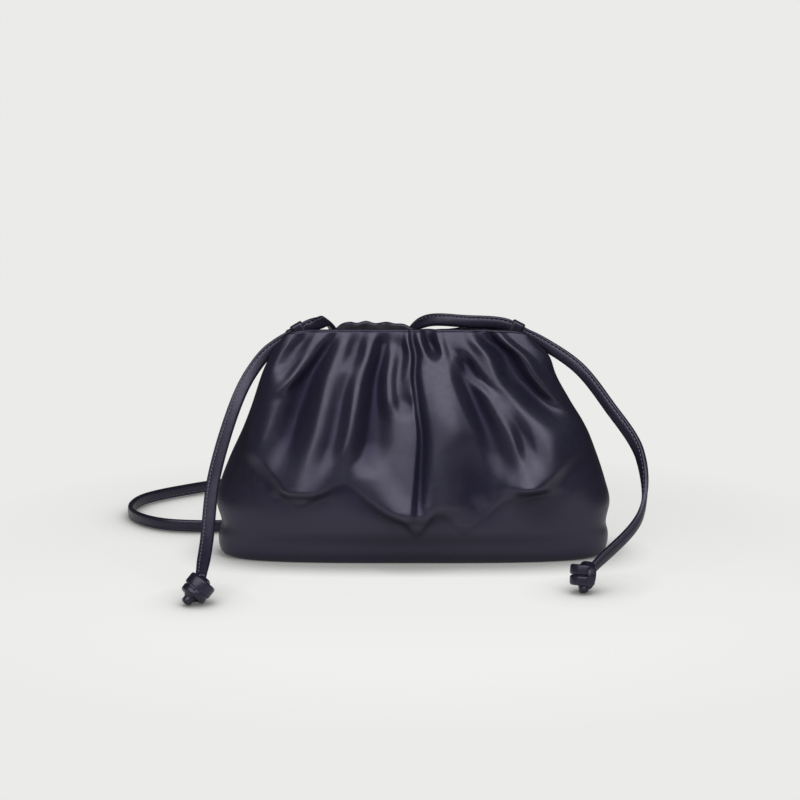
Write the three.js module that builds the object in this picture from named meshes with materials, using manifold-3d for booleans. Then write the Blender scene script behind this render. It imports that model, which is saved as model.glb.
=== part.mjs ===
// A small gathered pouch handbag: a hollow leather pouch with a flat base and a pleated mouth,
// two keepers on the ends of the mouth, and one long strap that runs through both keepers.
// Its ends hang down in front and end in knots, and its middle lies in a loop behind the bag.
// Millimetres, +Z up, +X to the right of someone facing the front, which faces -Y.
import * as THREE from "three";
import { mergeVertices } from "three/addons/utils/BufferGeometryUtils.js";
import Module from "manifold-3d";

const wasm = await Module();
wasm.setup();

// Pouch sizes
const bagWidth = 219; // across the bulge above the base
const bagHeight = 127.3; // floor to the front edge of the mouth
const bagDepth = 72; // front to back across the body, without the folds
const wall = 2.4; // leather with its backing
const hem = 3; // turned edge round the mouth
const hemEdge = 0.8; // rounding of that edge
const baseThickness = 3; // leather over the stiff base
const foldRise = 8; // a fold with a share of one stands this far proud
const narrowestFold = 0.03; // least half width of a fold, as a share of the bag's half width
const apronRise = 4; // how far the gathers hang out over the plain lower panel
const apronTuck = 0.05; // share of the height in which the apron ends
const apronFade = 0.3; // share of the height over which it grows downwards
const footShare = 0.04; // the rounded foot ends and the folds start at this share of the height
const hemStart = 0.9; // the wall thickens into the hem from this share of the height on
const apronShoulder = 0.35; // share of the tuck that lies above the apron's edge
const mouthCalm = 0.5; // share of the folds that the hem flattens
const nearMouth = 0.93; // share of the height where that starts
const calmEnd = 0.4; // the folds run out over this share of the depth at the ends
const endTurn = 6; // how sharply the wall turns round at the ends
const pinchShare = 0.8; // the end fold reaches at most this share of the half depth
const lipStart = 0.8; // share of the height where the edge starts to rise and dip
const backLipRise = 1.6; // the ruffle of the back edge of the mouth
const endDrop = 2; // the mouth's edge is this much lower near its ends
const endDip = 10.5; // how far the edge dips at the ends, where the strap leaves the mouth
const endPinchWidth = 7; // half the width of the soft fold in each end of the pouch
const columnsPerSide = 52;
const evenColumns = 0.8; // share of a side with columns at an even spacing
const outerRows = 23;
const innerRows = 11;

// Strap sizes
const strapWidth = 7;
const strapThickness = 2.8;
const strapCorner = 0.8;
const strapStep = 14; // length of one straight stretch of the strap

// Keeper sizes: a band of leather round the strap
const keeperLength = 6.8; // along the strap
const keeperThickness = 1;
const keeperRoom = 0.35; // clearance between the strap and the band

// Knot sizes
const knotSize = 15; // across the tightened knot
const knotBand = 5.4; // width of the strap where it is squeezed in the knot
const knotBandThickness = 3;
const endWidth = 6.6; // the strap's folded end, which sticks out of the knot
const endThickness = 5;
const endCorner = 1.8;
const turnSides = 12; // flat sides round one turn of a knot
const floorGap = 0.2; // under what only touches the floor

const leatherColour = 0x25232f;

// Sections of the pouch from the floor up. Height is a share of bagHeight, width, shift and pinch
// are shares of bagWidth, depth is a share of bagDepth, and square is the section's exponent:
// 2 is an ellipse, and more is squarer. Pinch is how far the middle of each end is folded in.
const sections = [
  { height: 0, width: 0.93, shift: 0, depth: 0.7, square: 3.3, pinch: 0 },
  { height: 0.012, width: 0.966, shift: 0, depth: 0.76, square: 3.3, pinch: 0 },
  { height: 0.04, width: 0.986, shift: 0, depth: 0.8, square: 3.2, pinch: 0 },
  { height: 0.094, width: 0.992, shift: 0.001, depth: 0.84, square: 3.1, pinch: 0 },
  { height: 0.15, width: 0.978, shift: 0.002, depth: 0.93, square: 2.9, pinch: 0 },
  { height: 0.242, width: 1, shift: 0, depth: 1, square: 2.6, pinch: 0 },
  { height: 0.328, width: 0.976, shift: 0, depth: 1, square: 2.5, pinch: 0 },
  { height: 0.438, width: 0.93, shift: 0.002, depth: 0.96, square: 2.4, pinch: 0 },
  { height: 0.562, width: 0.872, shift: 0.004, depth: 0.88, square: 2.4, pinch: 0.003 },
  { height: 0.672, width: 0.81, shift: -0.003, depth: 0.77, square: 2.5, pinch: 0.006 },
  { height: 0.797, width: 0.745, shift: -0.011, depth: 0.6, square: 3, pinch: 0.01 },
  { height: 0.891, width: 0.7, shift: -0.009, depth: 0.47, square: 4, pinch: 0.014 },
  { height: 0.953, width: 0.642, shift: -0.015, depth: 0.39, square: 6, pinch: 0.014 },
  { height: 1, width: 0.602, shift: -0.0165, depth: 0.32, square: 9, pinch: 0.014 },
];

// Height of the back edge of the mouth against the front one, as shares of backLipRise: the strap
// presses it down where it crosses it.
const backLip = [
  { across: -1, rise: 0 },
  { across: -0.86, rise: -1.8 },
  { across: -0.72, rise: -2.4 },
  { across: -0.62, rise: -2 },
  { across: -0.55, rise: 0.2 },
  { across: -0.48, rise: 1 },
  { across: -0.42, rise: 0.5 },
  { across: -0.34, rise: 1.1 },
  { across: -0.26, rise: 0.4 },
  { across: -0.18, rise: 1 },
  { across: -0.1, rise: 0.3 },
  { across: -0.02, rise: 0 },
  { across: 0.08, rise: -1.6 },
  { across: 0.34, rise: -1.6 },
  { across: 0.5, rise: -0.6 },
  { across: 1, rise: 0 },
];

// The gathered leather hangs out over a plain lower panel: edge is the height share at which it
// ends, at places across the front, and rise is how far it hangs out there, a share of apronRise.
const apron = [
  { across: -1, edge: 0.5, rise: 0.2 },
  { across: -0.87, edge: 0.47, rise: 0.4 },
  { across: -0.72, edge: 0.38, rise: 0.8 },
  { across: -0.57, edge: 0.29, rise: 1 },
  { across: -0.45, edge: 0.34, rise: 0.8 },
  { across: -0.34, edge: 0.37, rise: 0.7 },
  { across: -0.2, edge: 0.29, rise: 0.9 },
  { across: -0.07, edge: 0.23, rise: 1 },
  { across: 0.02, edge: 0.17, rise: 1 },
  { across: 0.12, edge: 0.25, rise: 0.4 },
  { across: 0.25, edge: 0.18, rise: 0.3 },
  { across: 0.35, edge: 0.23, rise: 0.4 },
  { across: 0.45, edge: 0.3, rise: 0.8 },
  { across: 0.52, edge: 0.32, rise: 1 },
  { across: 0.68, edge: 0.37, rise: 0.8 },
  { across: 0.82, edge: 0.45, rise: 0.5 },
  { across: 1, edge: 0.52, rise: 0.2 },
];

// Folds of the front. A fold's crest runs down from the height share start to tip, through the
// places top, middle and bottom, as shares of the half width there. Its half width goes from
// narrow to broad, and its rise, a share of foldRise, from first through midway to last; a
// negative rise is a valley. It runs out over the height share fade, and lean moves its crest to
// one side, which makes that side the steeper one.
const frontFolds = [
  { name: "left shoulder hollow", start: 1.1, tip: 0.78, top: -0.8, middle: -0.82, bottom: -0.88,
    narrow: 0.12, broad: 0.1, first: -0.5, midway: -0.4, last: -0.2, fade: 0.08, lean: 0 },
  { name: "left shoulder rim", start: 1.1, tip: 0.7, top: -0.6, middle: -0.68, bottom: -0.88,
    narrow: 0.08, broad: 0.09, first: 0.3, midway: 0.3, last: 0.3, fade: 0.1, lean: 0 },
  { name: "left flank", start: 1, tip: 0.35, top: -0.9, middle: -0.88, bottom: -0.8,
    narrow: 0.16, broad: 0.22, first: 0.2, midway: 0.5, last: 0.6, fade: 0.2, lean: 0 },
  { name: "left valley", start: 1.1, tip: 0.36, top: -0.56, middle: -0.68, bottom: -0.74,
    narrow: 0.12, broad: 0.16, first: -0.3, midway: -0.7, last: -0.3, fade: 0.2, lean: 0 },
  { name: "left point", start: 1.1, tip: 0.29, top: -0.47, middle: -0.54, bottom: -0.58,
    narrow: 0.12, broad: 0.2, first: 0, midway: 0.3, last: 0.9, fade: 0.05, lean: 0.1 },
  { name: "left pocket", start: 1.1, tip: 0.82, top: -0.39, middle: -0.39, bottom: -0.42,
    narrow: 0.1, broad: 0.09, first: -0.3, midway: -0.3, last: -0.2, fade: 0.08, lean: 0 },
  { name: "second valley", start: 0.9, tip: 0.33, top: -0.42, middle: -0.46, bottom: -0.48,
    narrow: 0.09, broad: 0.11, first: -0.1, midway: -0.4, last: -0.3, fade: 0.2, lean: 0 },
  { name: "narrow ridge", start: 1.1, tip: 0.34, top: -0.21, middle: -0.34, bottom: -0.4,
    narrow: 0.1, broad: 0.12, first: 0.2, midway: 0.4, last: 0.6, fade: 0.2, lean: 0 },
  { name: "deep valley", start: 1.1, tip: 0.38, top: -0.15, middle: -0.22, bottom: -0.25,
    narrow: 0.1, broad: 0.17, first: -0.1, midway: -0.7, last: -0.5, fade: 0.16, lean: 0 },
  { name: "pleat left rim", start: 0.97, tip: 0.62, top: -0.13, middle: -0.15, bottom: -0.15,
    narrow: 0.07, broad: 0.08, first: 0.1, midway: 0.3, last: 0.2, fade: 0.1, lean: 0 },
  { name: "box pleat", start: 1.03, tip: 0.62, top: -0.07, middle: -0.06, bottom: -0.05,
    narrow: 0.08, broad: 0.1, first: -0.3, midway: -0.3, last: -0.5, fade: 0.12, lean: 0 },
  { name: "pleat edge", start: 1.1, tip: 0.7, top: 0.01, middle: 0, bottom: -0.06,
    narrow: 0.06, broad: 0.06, first: 0.2, midway: 0.2, last: 0.1, fade: 0.1, lean: 0 },
  { name: "centre bulge", start: 0.74, tip: 0.18, top: -0.03, middle: -0.07, bottom: -0.02,
    narrow: 0.1, broad: 0.2, first: -0.2, midway: 0.1, last: 0.9, fade: 0.06, lean: 0.1 },
  { name: "slanting swell", start: 0.5, tip: 0.2, top: -0.3, middle: -0.18, bottom: -0.06,
    narrow: 0.15, broad: 0.16, first: -0.1, midway: 0.2, last: 0.4, fade: 0.06, lean: 0 },
  { name: "centre crease", start: 1.1, tip: 0.15, top: 0.045, middle: 0.06, bottom: 0.035,
    narrow: 0.05, broad: 0.06, first: -0.3, midway: -0.4, last: -0.5, fade: 0.15, lean: -0.4 },
  { name: "dimple left rim", start: 1.1, tip: 0.84, top: 0.09, middle: 0.1, bottom: 0.13,
    narrow: 0.06, broad: 0.06, first: 0.1, midway: 0.2, last: 0.1, fade: 0.08, lean: 0 },
  { name: "round dimple", start: 1.1, tip: 0.86, top: 0.17, middle: 0.17, bottom: 0.17,
    narrow: 0.09, broad: 0.07, first: -0.4, midway: -0.5, last: -0.4, fade: 0.06, lean: 0 },
  { name: "dimple right rim", start: 1.1, tip: 0.84, top: 0.27, middle: 0.26, bottom: 0.21,
    narrow: 0.06, broad: 0.06, first: 0.1, midway: 0.2, last: 0.1, fade: 0.08, lean: 0 },
  { name: "right centre ridge", start: 0.95, tip: 0.2, top: 0.21, middle: 0.2, bottom: 0.15,
    narrow: 0.2, broad: 0.2, first: 0, midway: 0.7, last: 0.4, fade: 0.08, lean: 0 },
  { name: "right hollow", start: 0.65, tip: 0.1, top: 0.27, middle: 0.3, bottom: 0.31,
    narrow: 0.18, broad: 0.22, first: 0, midway: -0.7, last: -0.2, fade: 0.25, lean: 0 },
  { name: "slanting crease", start: 0.97, tip: 0.3, top: 0.32, middle: 0.42, bottom: 0.51,
    narrow: 0.1, broad: 0.12, first: -0.2, midway: -0.6, last: -0.3, fade: 0.2, lean: 0 },
  { name: "upper pocket", start: 0.93, tip: 0.72, top: 0.35, middle: 0.43, bottom: 0.54,
    narrow: 0.08, broad: 0.09, first: -0.2, midway: -0.4, last: -0.2, fade: 0.08, lean: 0 },
  { name: "left limb", start: 0.9, tip: 0.31, top: 0.42, middle: 0.52, bottom: 0.57,
    narrow: 0.12, broad: 0.15, first: 0, midway: 0.2, last: 0.7, fade: 0.05, lean: 0 },
  { name: "right point", start: 0.8, tip: 0.3, top: 0.62, middle: 0.72, bottom: 0.6,
    narrow: 0.14, broad: 0.16, first: 0, midway: 0.4, last: 0.6, fade: 0.05, lean: 0 },
  { name: "point hollow", start: 0.68, tip: 0.4, top: 0.6, middle: 0.61, bottom: 0.61,
    narrow: 0.07, broad: 0.07, first: -0.1, midway: -0.3, last: -0.1, fade: 0.12, lean: 0 },
  { name: "thin ridge", start: 1.1, tip: 0.7, top: 0.48, middle: 0.54, bottom: 0.6,
    narrow: 0.08, broad: 0.1, first: 0.2, midway: 0.2, last: 0.1, fade: 0.1, lean: 0 },
  { name: "right valley", start: 1.1, tip: 0.58, top: 0.6, middle: 0.7, bottom: 0.88,
    narrow: 0.12, broad: 0.18, first: -0.3, midway: -0.7, last: -0.6, fade: 0.14, lean: 0 },
  { name: "shoulder ridge", start: 1.1, tip: 0.62, top: 0.67, middle: 0.81, bottom: 0.94,
    narrow: 0.09, broad: 0.1, first: 0.4, midway: 0.4, last: 0.2, fade: 0.14, lean: 0 },
  { name: "right flank", start: 0.68, tip: 0.2, top: 0.84, middle: 0.8, bottom: 0.78,
    narrow: 0.16, broad: 0.2, first: 0.3, midway: 0.4, last: 0.2, fade: 0.14, lean: 0 },
];

// Folds of the back, in the same terms.
const backFolds = [
  { name: "first valley", start: 1.1, tip: 0.6, top: -0.8, middle: -0.85, bottom: -0.9,
    narrow: 0.07, broad: 0.06, first: -0.4, midway: -0.3, last: -0.25, fade: 0.12, lean: 0 },
  { name: "first ridge", start: 1.1, tip: 0.34, top: -0.64, middle: -0.7, bottom: -0.74,
    narrow: 0.07, broad: 0.12, first: 0.3, midway: 0.4, last: 0.45, fade: 0.12, lean: 0 },
  { name: "second valley", start: 1.1, tip: 0.42, top: -0.48, middle: -0.53, bottom: -0.56,
    narrow: 0.06, broad: 0.08, first: -0.45, midway: -0.4, last: -0.4, fade: 0.12, lean: 0 },
  { name: "second ridge", start: 1.1, tip: 0.24, top: -0.34, middle: -0.38, bottom: -0.42,
    narrow: 0.07, broad: 0.13, first: 0.3, midway: 0.4, last: 0.5, fade: 0.12, lean: 0 },
  { name: "third valley", start: 1.1, tip: 0.36, top: -0.19, middle: -0.21, bottom: -0.22,
    narrow: 0.06, broad: 0.07, first: -0.5, midway: -0.45, last: -0.4, fade: 0.12, lean: 0 },
  { name: "middle ridge", start: 1.1, tip: 0.2, top: -0.03, middle: -0.04, bottom: -0.03,
    narrow: 0.07, broad: 0.13, first: 0.3, midway: 0.4, last: 0.5, fade: 0.12, lean: 0 },
  { name: "fourth valley", start: 1.1, tip: 0.4, top: 0.12, middle: 0.14, bottom: 0.17,
    narrow: 0.06, broad: 0.08, first: -0.5, midway: -0.45, last: -0.4, fade: 0.12, lean: 0 },
  { name: "third ridge", start: 1.1, tip: 0.3, top: 0.27, middle: 0.32, bottom: 0.36,
    narrow: 0.07, broad: 0.12, first: 0.3, midway: 0.4, last: 0.5, fade: 0.12, lean: 0 },
  { name: "fifth valley", start: 1.1, tip: 0.44, top: 0.42, middle: 0.47, bottom: 0.52,
    narrow: 0.06, broad: 0.08, first: -0.45, midway: -0.4, last: -0.3, fade: 0.12, lean: 0 },
  { name: "last ridge", start: 1.1, tip: 0.36, top: 0.57, middle: 0.63, bottom: 0.69,
    narrow: 0.07, broad: 0.11, first: 0.3, midway: 0.35, last: 0.4, fade: 0.12, lean: 0 },
  { name: "last valley", start: 1.1, tip: 0.58, top: 0.74, middle: 0.8, bottom: 0.87,
    narrow: 0.07, broad: 0.06, first: -0.4, midway: -0.3, last: -0.25, fade: 0.12, lean: 0 },
];

// The strap's route from the left knot to the right one: the middle of its section, and roll,
// the angle of its broad side above the level, in degrees.
const strapRoute = [
  { x: -108.5, y: -98.1, z: 12.8, roll: 0 },
  { x: -107.4, y: -80, z: 25, roll: 0 },
  { x: -105.9, y: -49.7, z: 53.4, roll: 5 },
  { x: -96.6, y: -16, z: 87.4, roll: 35 },
  { x: -89.7, y: -7.1, z: 101.4, roll: 60 },
  { x: -81.2, y: -2.6, z: 112.4, roll: 80 },
  { x: -74.2, y: -0.2, z: 117.7, roll: 90 },
  { x: -67.7, y: 0.4, z: 121.5, roll: 90 },
  { x: -57.3, y: 0.4, z: 127.6, roll: 90 },
  { x: -52.3, y: 4.4, z: 128.6, roll: 70 },
  { x: -47.5, y: 12.8, z: 127.9, roll: 30 },
  { x: -33.6, y: 33.2, z: 94.4, roll: 0 },
  { x: -20.2, y: 48.8, z: 48.4, roll: -5 },
  { x: -3, y: 63, z: 17.5, roll: -45 },
  { x: 32, y: 80, z: 4.5, roll: -90 },
  { x: 52.5, y: 96, z: 4.5, roll: -90 },
  { x: 61.5, y: 120, z: 4.5, roll: -90 },
  { x: 31, y: 159, z: 4.5, roll: -90 },
  { x: -36, y: 171, z: 4.5, roll: -90 },
  { x: -103, y: 162.5, z: 4.5, roll: -90 },
  { x: -142, y: 138, z: 4.5, roll: -90 },
  { x: -167, y: 108, z: 4.5, roll: -90 },
  { x: -168, y: 73, z: 4.5, roll: -90 },
  { x: -145, y: 46.5, z: 4.5, roll: -90 },
  { x: -100, y: 44.3, z: 4.5, roll: -90 },
  { x: -78, y: 50.5, z: 7, roll: -80 },
  { x: -57, y: 58.5, z: 18.5, roll: -55 },
  { x: -38.8, y: 58.2, z: 40.2, roll: -30 },
  { x: -17, y: 41.6, z: 86, roll: 5 },
  { x: -5, y: 22.6, z: 117.8, roll: 35 },
  { x: 7.3, y: 10.6, z: 128.9, roll: 70 },
  { x: 30, y: 1.8, z: 129.9, roll: 86 },
  { x: 51.1, y: 0, z: 128.3, roll: 90 },
  { x: 61.7, y: 0, z: 122.8, roll: 90 },
  { x: 69, y: 0, z: 119.3, roll: 88 },
  { x: 89.8, y: -8.6, z: 106.2, roll: 80 },
  { x: 105.8, y: -22, z: 87, roll: 80 },
  { x: 121.2, y: -38, z: 63, roll: 80 },
  { x: 120.4, y: -54.7, z: 34.8, roll: 80 },
  { x: 92.6, y: -76.9, z: 10.4, roll: 80 },
];

// The knots: the middle of each, the axis that its two turns run round, which is also the way its
// cut end points, and the axis of the turn that crosses them. Stub is the cut end's length as a
// share of knotSize.
const knots = {
  left: {
    x: -109.6,
    y: -106.1,
    turns: [
      { axis: [-0.62, -0.3, -0.72], radius: 0.98, offset: -0.42, width: 1.2 },
      { axis: [-0.56, -0.4, -0.72], radius: 0.88, offset: 0.5, width: 0.8 },
      { axis: [0.75, -0.45, -0.5], radius: 0.94, offset: 0, width: 1 },
    ],
    end: [-0.62, -0.42, -0.66],
    stub: 0.62,
    roll: 20,
  },
  right: {
    x: 87,
    y: -84.5,
    turns: [
      { axis: [-0.08, -0.25, -0.96], radius: 0.86, offset: -0.5, width: 1 },
      { axis: [-0.05, -0.2, -0.98], radius: 0.84, offset: 0.5, width: 0.95 },
      { axis: [0.93, 0.3, -0.2], radius: 0.98, offset: 0.4, width: 0.95 },
    ],
    end: [0.05, -0.4, -0.92],
    stub: 0.6,
    roll: 0,
  },
};

const leftKeeperStart = 7; // the keepers sit on these stretches of the route
const rightKeeperStart = 32;

function smoothstep(from, to, value) {
  return THREE.MathUtils.smoothstep(value, from, to);
}

// One column of a table at a place along its key column, as a smooth curve through its rows.
function tableValue(table, key, column, place) {
  const last = table.length - 1;
  const at = THREE.MathUtils.clamp(place, table[0][key], table[last][key]);
  let row = 0;
  while (row < last - 1 && table[row + 1][key] < at) row += 1;
  const slope = (index) => {
    const before = table[Math.max(index - 1, 0)];
    const after = table[Math.min(index + 1, last)];
    return (after[column] - before[column]) / (after[key] - before[key]);
  };
  const low = table[row];
  const high = table[row + 1];
  const span = high[key] - low[key];
  const t = (at - low[key]) / span;
  const rise = high[column] - low[column];
  const bendLow = slope(row) * span - rise;
  const bendHigh = rise - slope(row + 1) * span;
  return low[column] + t * rise + t * (1 - t) * ((1 - t) * bendLow + t * bendHigh);
}

// A value that goes through three named ones as t goes from 0 to 1.
function throughThree(first, midway, last, t) {
  return first * (1 - t) * (1 - 2 * t) + midway * 4 * t * (1 - t) + last * t * (2 * t - 1);
}

// How far the folds move the leather out at a place across and a height share.
function foldOffset(folds, across, height) {
  let offset = 0;
  for (const fold of folds) {
    if (height > fold.start || height < fold.tip) continue;
    const t = (fold.start - height) / (fold.start - fold.tip);
    const crest = throughThree(fold.top, fold.middle, fold.bottom, t);
    const halfWidth = Math.max(THREE.MathUtils.lerp(fold.narrow, fold.broad, t), narrowestFold);
    const place = (across - crest) / halfWidth;
    const away = Math.abs(place - fold.lean * (1 - Math.min(place * place, 1)));
    if (away >= 1) continue;
    const share = throughThree(fold.first, fold.midway, fold.last, t);
    const runOut = smoothstep(fold.tip, fold.tip + fold.fade, height);
    const runIn = 1 - smoothstep(fold.start - fold.fade, fold.start, height);
    offset += share * runOut * runIn * (0.5 + 0.5 * Math.cos(Math.PI * away));
  }
  return offset * foldRise * (1 - mouthCalm * smoothstep(nearMouth, 1, height));
}

// How far the gathers hang out over the lower panel of the front.
function apronOffset(across, height) {
  const above = height - tableValue(apron, "across", "edge", across);
  const shoulder = smoothstep(-apronTuck, apronShoulder * apronTuck, above);
  const rise = apronRise * tableValue(apron, "across", "rise", across);
  return rise * shoulder * Math.exp(-Math.max(above, 0) / apronFade);
}

// A point of the pouch: across goes from -1 at the left end to 1 at the right one, side is -1 in
// front and 1 behind, inset is how far the point lies inside the outer face, and foldShare is the
// share of the folds that it follows.
function pouchPoint(across, side, share, inset, foldShare) {
  const section = (column) => tableValue(sections, "height", column, share);
  const halfWidth = (section("width") * bagWidth) / 2;
  const halfDepth = (section("depth") * bagDepth) / 2;
  const square = section("square");
  const bulge = Math.max(1 - Math.abs(across) ** square, 0) ** (1 / square);
  const pinchReach = Math.min(endPinchWidth, pinchShare * halfDepth);
  const pinch = 0.5 + 0.5 * Math.cos(Math.PI * Math.min((bulge * halfDepth) / pinchReach, 1));
  const ends = Math.abs(across) ** endTurn;
  const reach = halfWidth * Math.abs(across) - inset * ends - section("pinch") * bagWidth * pinch;
  const folds = side < 0 ? frontFolds : backFolds;
  const gathers = foldOffset(folds, across, share) + (side < 0 ? apronOffset(across, share) : 0);
  const crease = gathers * foldShare * Math.min(1, bulge / calmEnd);
  const ruffle = side < 0 ? 0 : backLipRise * tableValue(backLip, "across", "rise", across);
  const lip = ruffle * (1 - pinch) - endDrop * across ** 8 - endDip * pinch;
  return new THREE.Vector3(
    section("shift") * bagWidth + Math.sign(across) * reach,
    side * ((halfDepth - inset) * bulge + crease),
    share * bagHeight + lip * smoothstep(lipStart, 1, share),
  );
}

// Columns at an even spacing along a side, and closer together towards its ends.
function columnPlace(column) {
  const even = -1 + (2 * column) / columnsPerSide;
  const stretch = 2 / (1 + evenColumns);
  if (Math.abs(even) < evenColumns) return even * stretch;
  const left = 1 - Math.abs(even);
  return Math.sign(even) * (1 - (stretch * left * left) / (2 * (1 - evenColumns)));
}

// The closed ring of points round the pouch at one height share.
function pouchRing(share, inset, foldShare, drop = 0) {
  const ring = [];
  for (const side of [-1, 1]) {
    for (let column = 0; column < columnsPerSide; column += 1) {
      const point = pouchPoint(-side * columnPlace(column), side, share, inset, foldShare);
      point.z -= drop;
      ring.push(point);
    }
  }
  return ring;
}

// A closed solid from rings of points, each end closed by a fan to its middle point.
function solidFromRings(rings, firstMiddle, lastMiddle) {
  const count = rings[0].length;
  const points = rings.flat().concat(firstMiddle, lastMiddle);
  const first = points.length - 2;
  const faces = [];
  for (let ring = 0; ring < rings.length - 1; ring += 1) {
    for (let k = 0; k < count; k += 1) {
      const a = ring * count + k;
      const b = ring * count + ((k + 1) % count);
      faces.push(a, b, b + count, a, b + count, a + count);
    }
  }
  const top = (rings.length - 1) * count;
  for (let k = 0; k < count; k += 1) {
    const next = (k + 1) % count;
    faces.push(first, next, k);
    faces.push(first + 1, top + k, top + next);
  }
  const geometry = new THREE.BufferGeometry().setFromPoints(points);
  geometry.setIndex(faces);
  return geometry;
}

function makePouch() {
  const rings = [];
  const feet = sections.filter((section) => section.height <= footShare);
  for (const section of feet) rings.push(pouchRing(section.height, 0, 0));
  for (let row = 1; row <= outerRows; row += 1) {
    const share = THREE.MathUtils.lerp(footShare, 1, row / outerRows);
    rings.push(pouchRing(share, 0, 1, row === outerRows ? hemEdge : 0));
  }
  rings.push(pouchRing(1, hemEdge, 1));
  rings.push(pouchRing(1, hem - hemEdge, 1));
  const innerBottom = baseThickness / bagHeight;
  for (let row = 0; row <= innerRows; row += 1) {
    const share = THREE.MathUtils.lerp(1, innerBottom, row / innerRows);
    const inset = THREE.MathUtils.lerp(wall, hem, smoothstep(hemStart, 1, share));
    rings.push(pouchRing(share, inset, 1, row === 0 ? hemEdge : 0));
  }
  return solidFromRings(
    rings,
    new THREE.Vector3(0, 0, 0),
    new THREE.Vector3(0, 0, baseThickness),
  );
}

// A flat band of leather on a curve: a rectangle with bevelled corners.
function bandSection(width, thickness, corner) {
  const x = width / 2;
  const y = thickness / 2;
  return new THREE.Shape([
    new THREE.Vector2(x, -y + corner),
    new THREE.Vector2(x, y - corner),
    new THREE.Vector2(x - corner, y),
    new THREE.Vector2(-x + corner, y),
    new THREE.Vector2(-x, y - corner),
    new THREE.Vector2(-x, -y + corner),
    new THREE.Vector2(-x + corner, -y),
    new THREE.Vector2(x - corner, -y),
  ]);
}

// A curve with stations of its own and a roll for its section at each of them.
class RolledPath extends THREE.CatmullRomCurve3 {
  constructor(route, step) {
    super(route.map((place) => new THREE.Vector3(place.x, place.y, place.z)));
    this.rolls = route.map((place) => place.roll);
    this.shares = [];
    for (let k = 0; k < this.points.length - 1; k += 1) {
      const stretches = Math.max(1, Math.round(this.points[k].distanceTo(this.points[k + 1]) / step));
      for (let part = 0; part < stretches; part += 1) {
        this.shares.push((k + part / stretches) / (this.points.length - 1));
      }
    }
    this.shares.push(1);
  }

  getSpacedPoints() {
    return this.shares.map((share) => this.getPoint(share));
  }

  rollAt(share) {
    const place = share * (this.rolls.length - 1);
    const low = Math.min(Math.floor(place), this.rolls.length - 2);
    return THREE.MathUtils.lerp(this.rolls[low], this.rolls[low + 1], place - low);
  }

  frameAt(share) {
    const tangent = this.getTangent(share);
    const level = new THREE.Vector3(tangent.y, -tangent.x, 0).normalize();
    const roll = THREE.MathUtils.degToRad(this.rollAt(share));
    const normal = level.applyAxisAngle(tangent, roll);
    const binormal = new THREE.Vector3().crossVectors(tangent, normal);
    return { tangent, normal, binormal };
  }

  computeFrenetFrames() {
    const frames = this.shares.map((share) => this.frameAt(share));
    return {
      tangents: frames.map((frame) => frame.tangent),
      normals: frames.map((frame) => frame.normal),
      binormals: frames.map((frame) => frame.binormal),
    };
  }
}

function sweep(section, path) {
  return new THREE.ExtrudeGeometry(section, {
    steps: path.shares.length - 1,
    extrudePath: path,
    bevelEnabled: false,
  });
}

function makeStrap() {
  const section = bandSection(strapWidth, strapThickness, strapCorner);
  return sweep(section, new RolledPath(strapRoute, strapStep));
}

// A closed geometry as a solid that can be joined and cut.
function toSolid(geometry) {
  const bare = geometry.clone();
  bare.deleteAttribute("normal");
  bare.deleteAttribute("uv");
  const merged = mergeVertices(bare, 1e-3);
  return new wasm.Manifold(
    new wasm.Mesh({
      numProp: 3,
      vertProperties: new Float32Array(merged.attributes.position.array),
      triVerts: new Uint32Array(merged.index.array),
    }),
  );
}

function fromSolid(solid) {
  const mesh = solid.getMesh();
  const geometry = new THREE.BufferGeometry();
  geometry.setAttribute("position", new THREE.BufferAttribute(mesh.vertProperties, 3));
  geometry.setIndex(new THREE.BufferAttribute(mesh.triVerts, 1));
  return geometry;
}

// The band of leather that holds the strap on one stretch of its route.
function makeKeeper(start) {
  const low = new THREE.Vector3().copy(strapRoute[start]);
  const high = new THREE.Vector3().copy(strapRoute[start + 1]);
  const along = new THREE.Vector3().subVectors(high, low).normalize();
  const roll = THREE.MathUtils.degToRad(strapRoute[start].roll);
  const broad = new THREE.Vector3(along.y, -along.x, 0).normalize().applyAxisAngle(along, roll);
  const thin = new THREE.Vector3().crossVectors(along, broad);
  const holeWidth = strapWidth + 2 * keeperRoom;
  const holeHeight = strapThickness + 2 * keeperRoom;
  const corner = keeperThickness + strapCorner;
  const outline = bandSection(
    holeWidth + 2 * keeperThickness,
    holeHeight + 2 * keeperThickness,
    corner,
  );
  outline.holes.push(bandSection(holeWidth, holeHeight, strapCorner));
  const band = new THREE.ExtrudeGeometry(outline, { depth: keeperLength, bevelEnabled: false });
  band.translate(0, 0, -keeperLength / 2);
  const middle = new THREE.Vector3().addVectors(low, high).multiplyScalar(0.5);
  const frame = new THREE.Matrix4().makeBasis(broad, thin, along).setPosition(middle);
  band.applyMatrix4(frame);
  return band;
}

// One turn of the strap in a knot: a flat ring round an axis, moved along it.
function knotTurn(turn, radius) {
  const section = bandSection(turn.width * knotBand, knotBandThickness, strapCorner).getPoints();
  const profile = section.map(
    (point) => new THREE.Vector2(turn.radius * radius - point.y, turn.offset * knotBand + point.x),
  );
  profile.push(profile[0].clone());
  const ring = new THREE.LatheGeometry(profile, turnSides);
  return toSolid(ring.applyQuaternion(turnFrom(new THREE.Vector3(0, 1, 0), turn.axis)));
}

function turnFrom(start, axis) {
  return new THREE.Quaternion().setFromUnitVectors(start, new THREE.Vector3(...axis).normalize());
}

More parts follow.
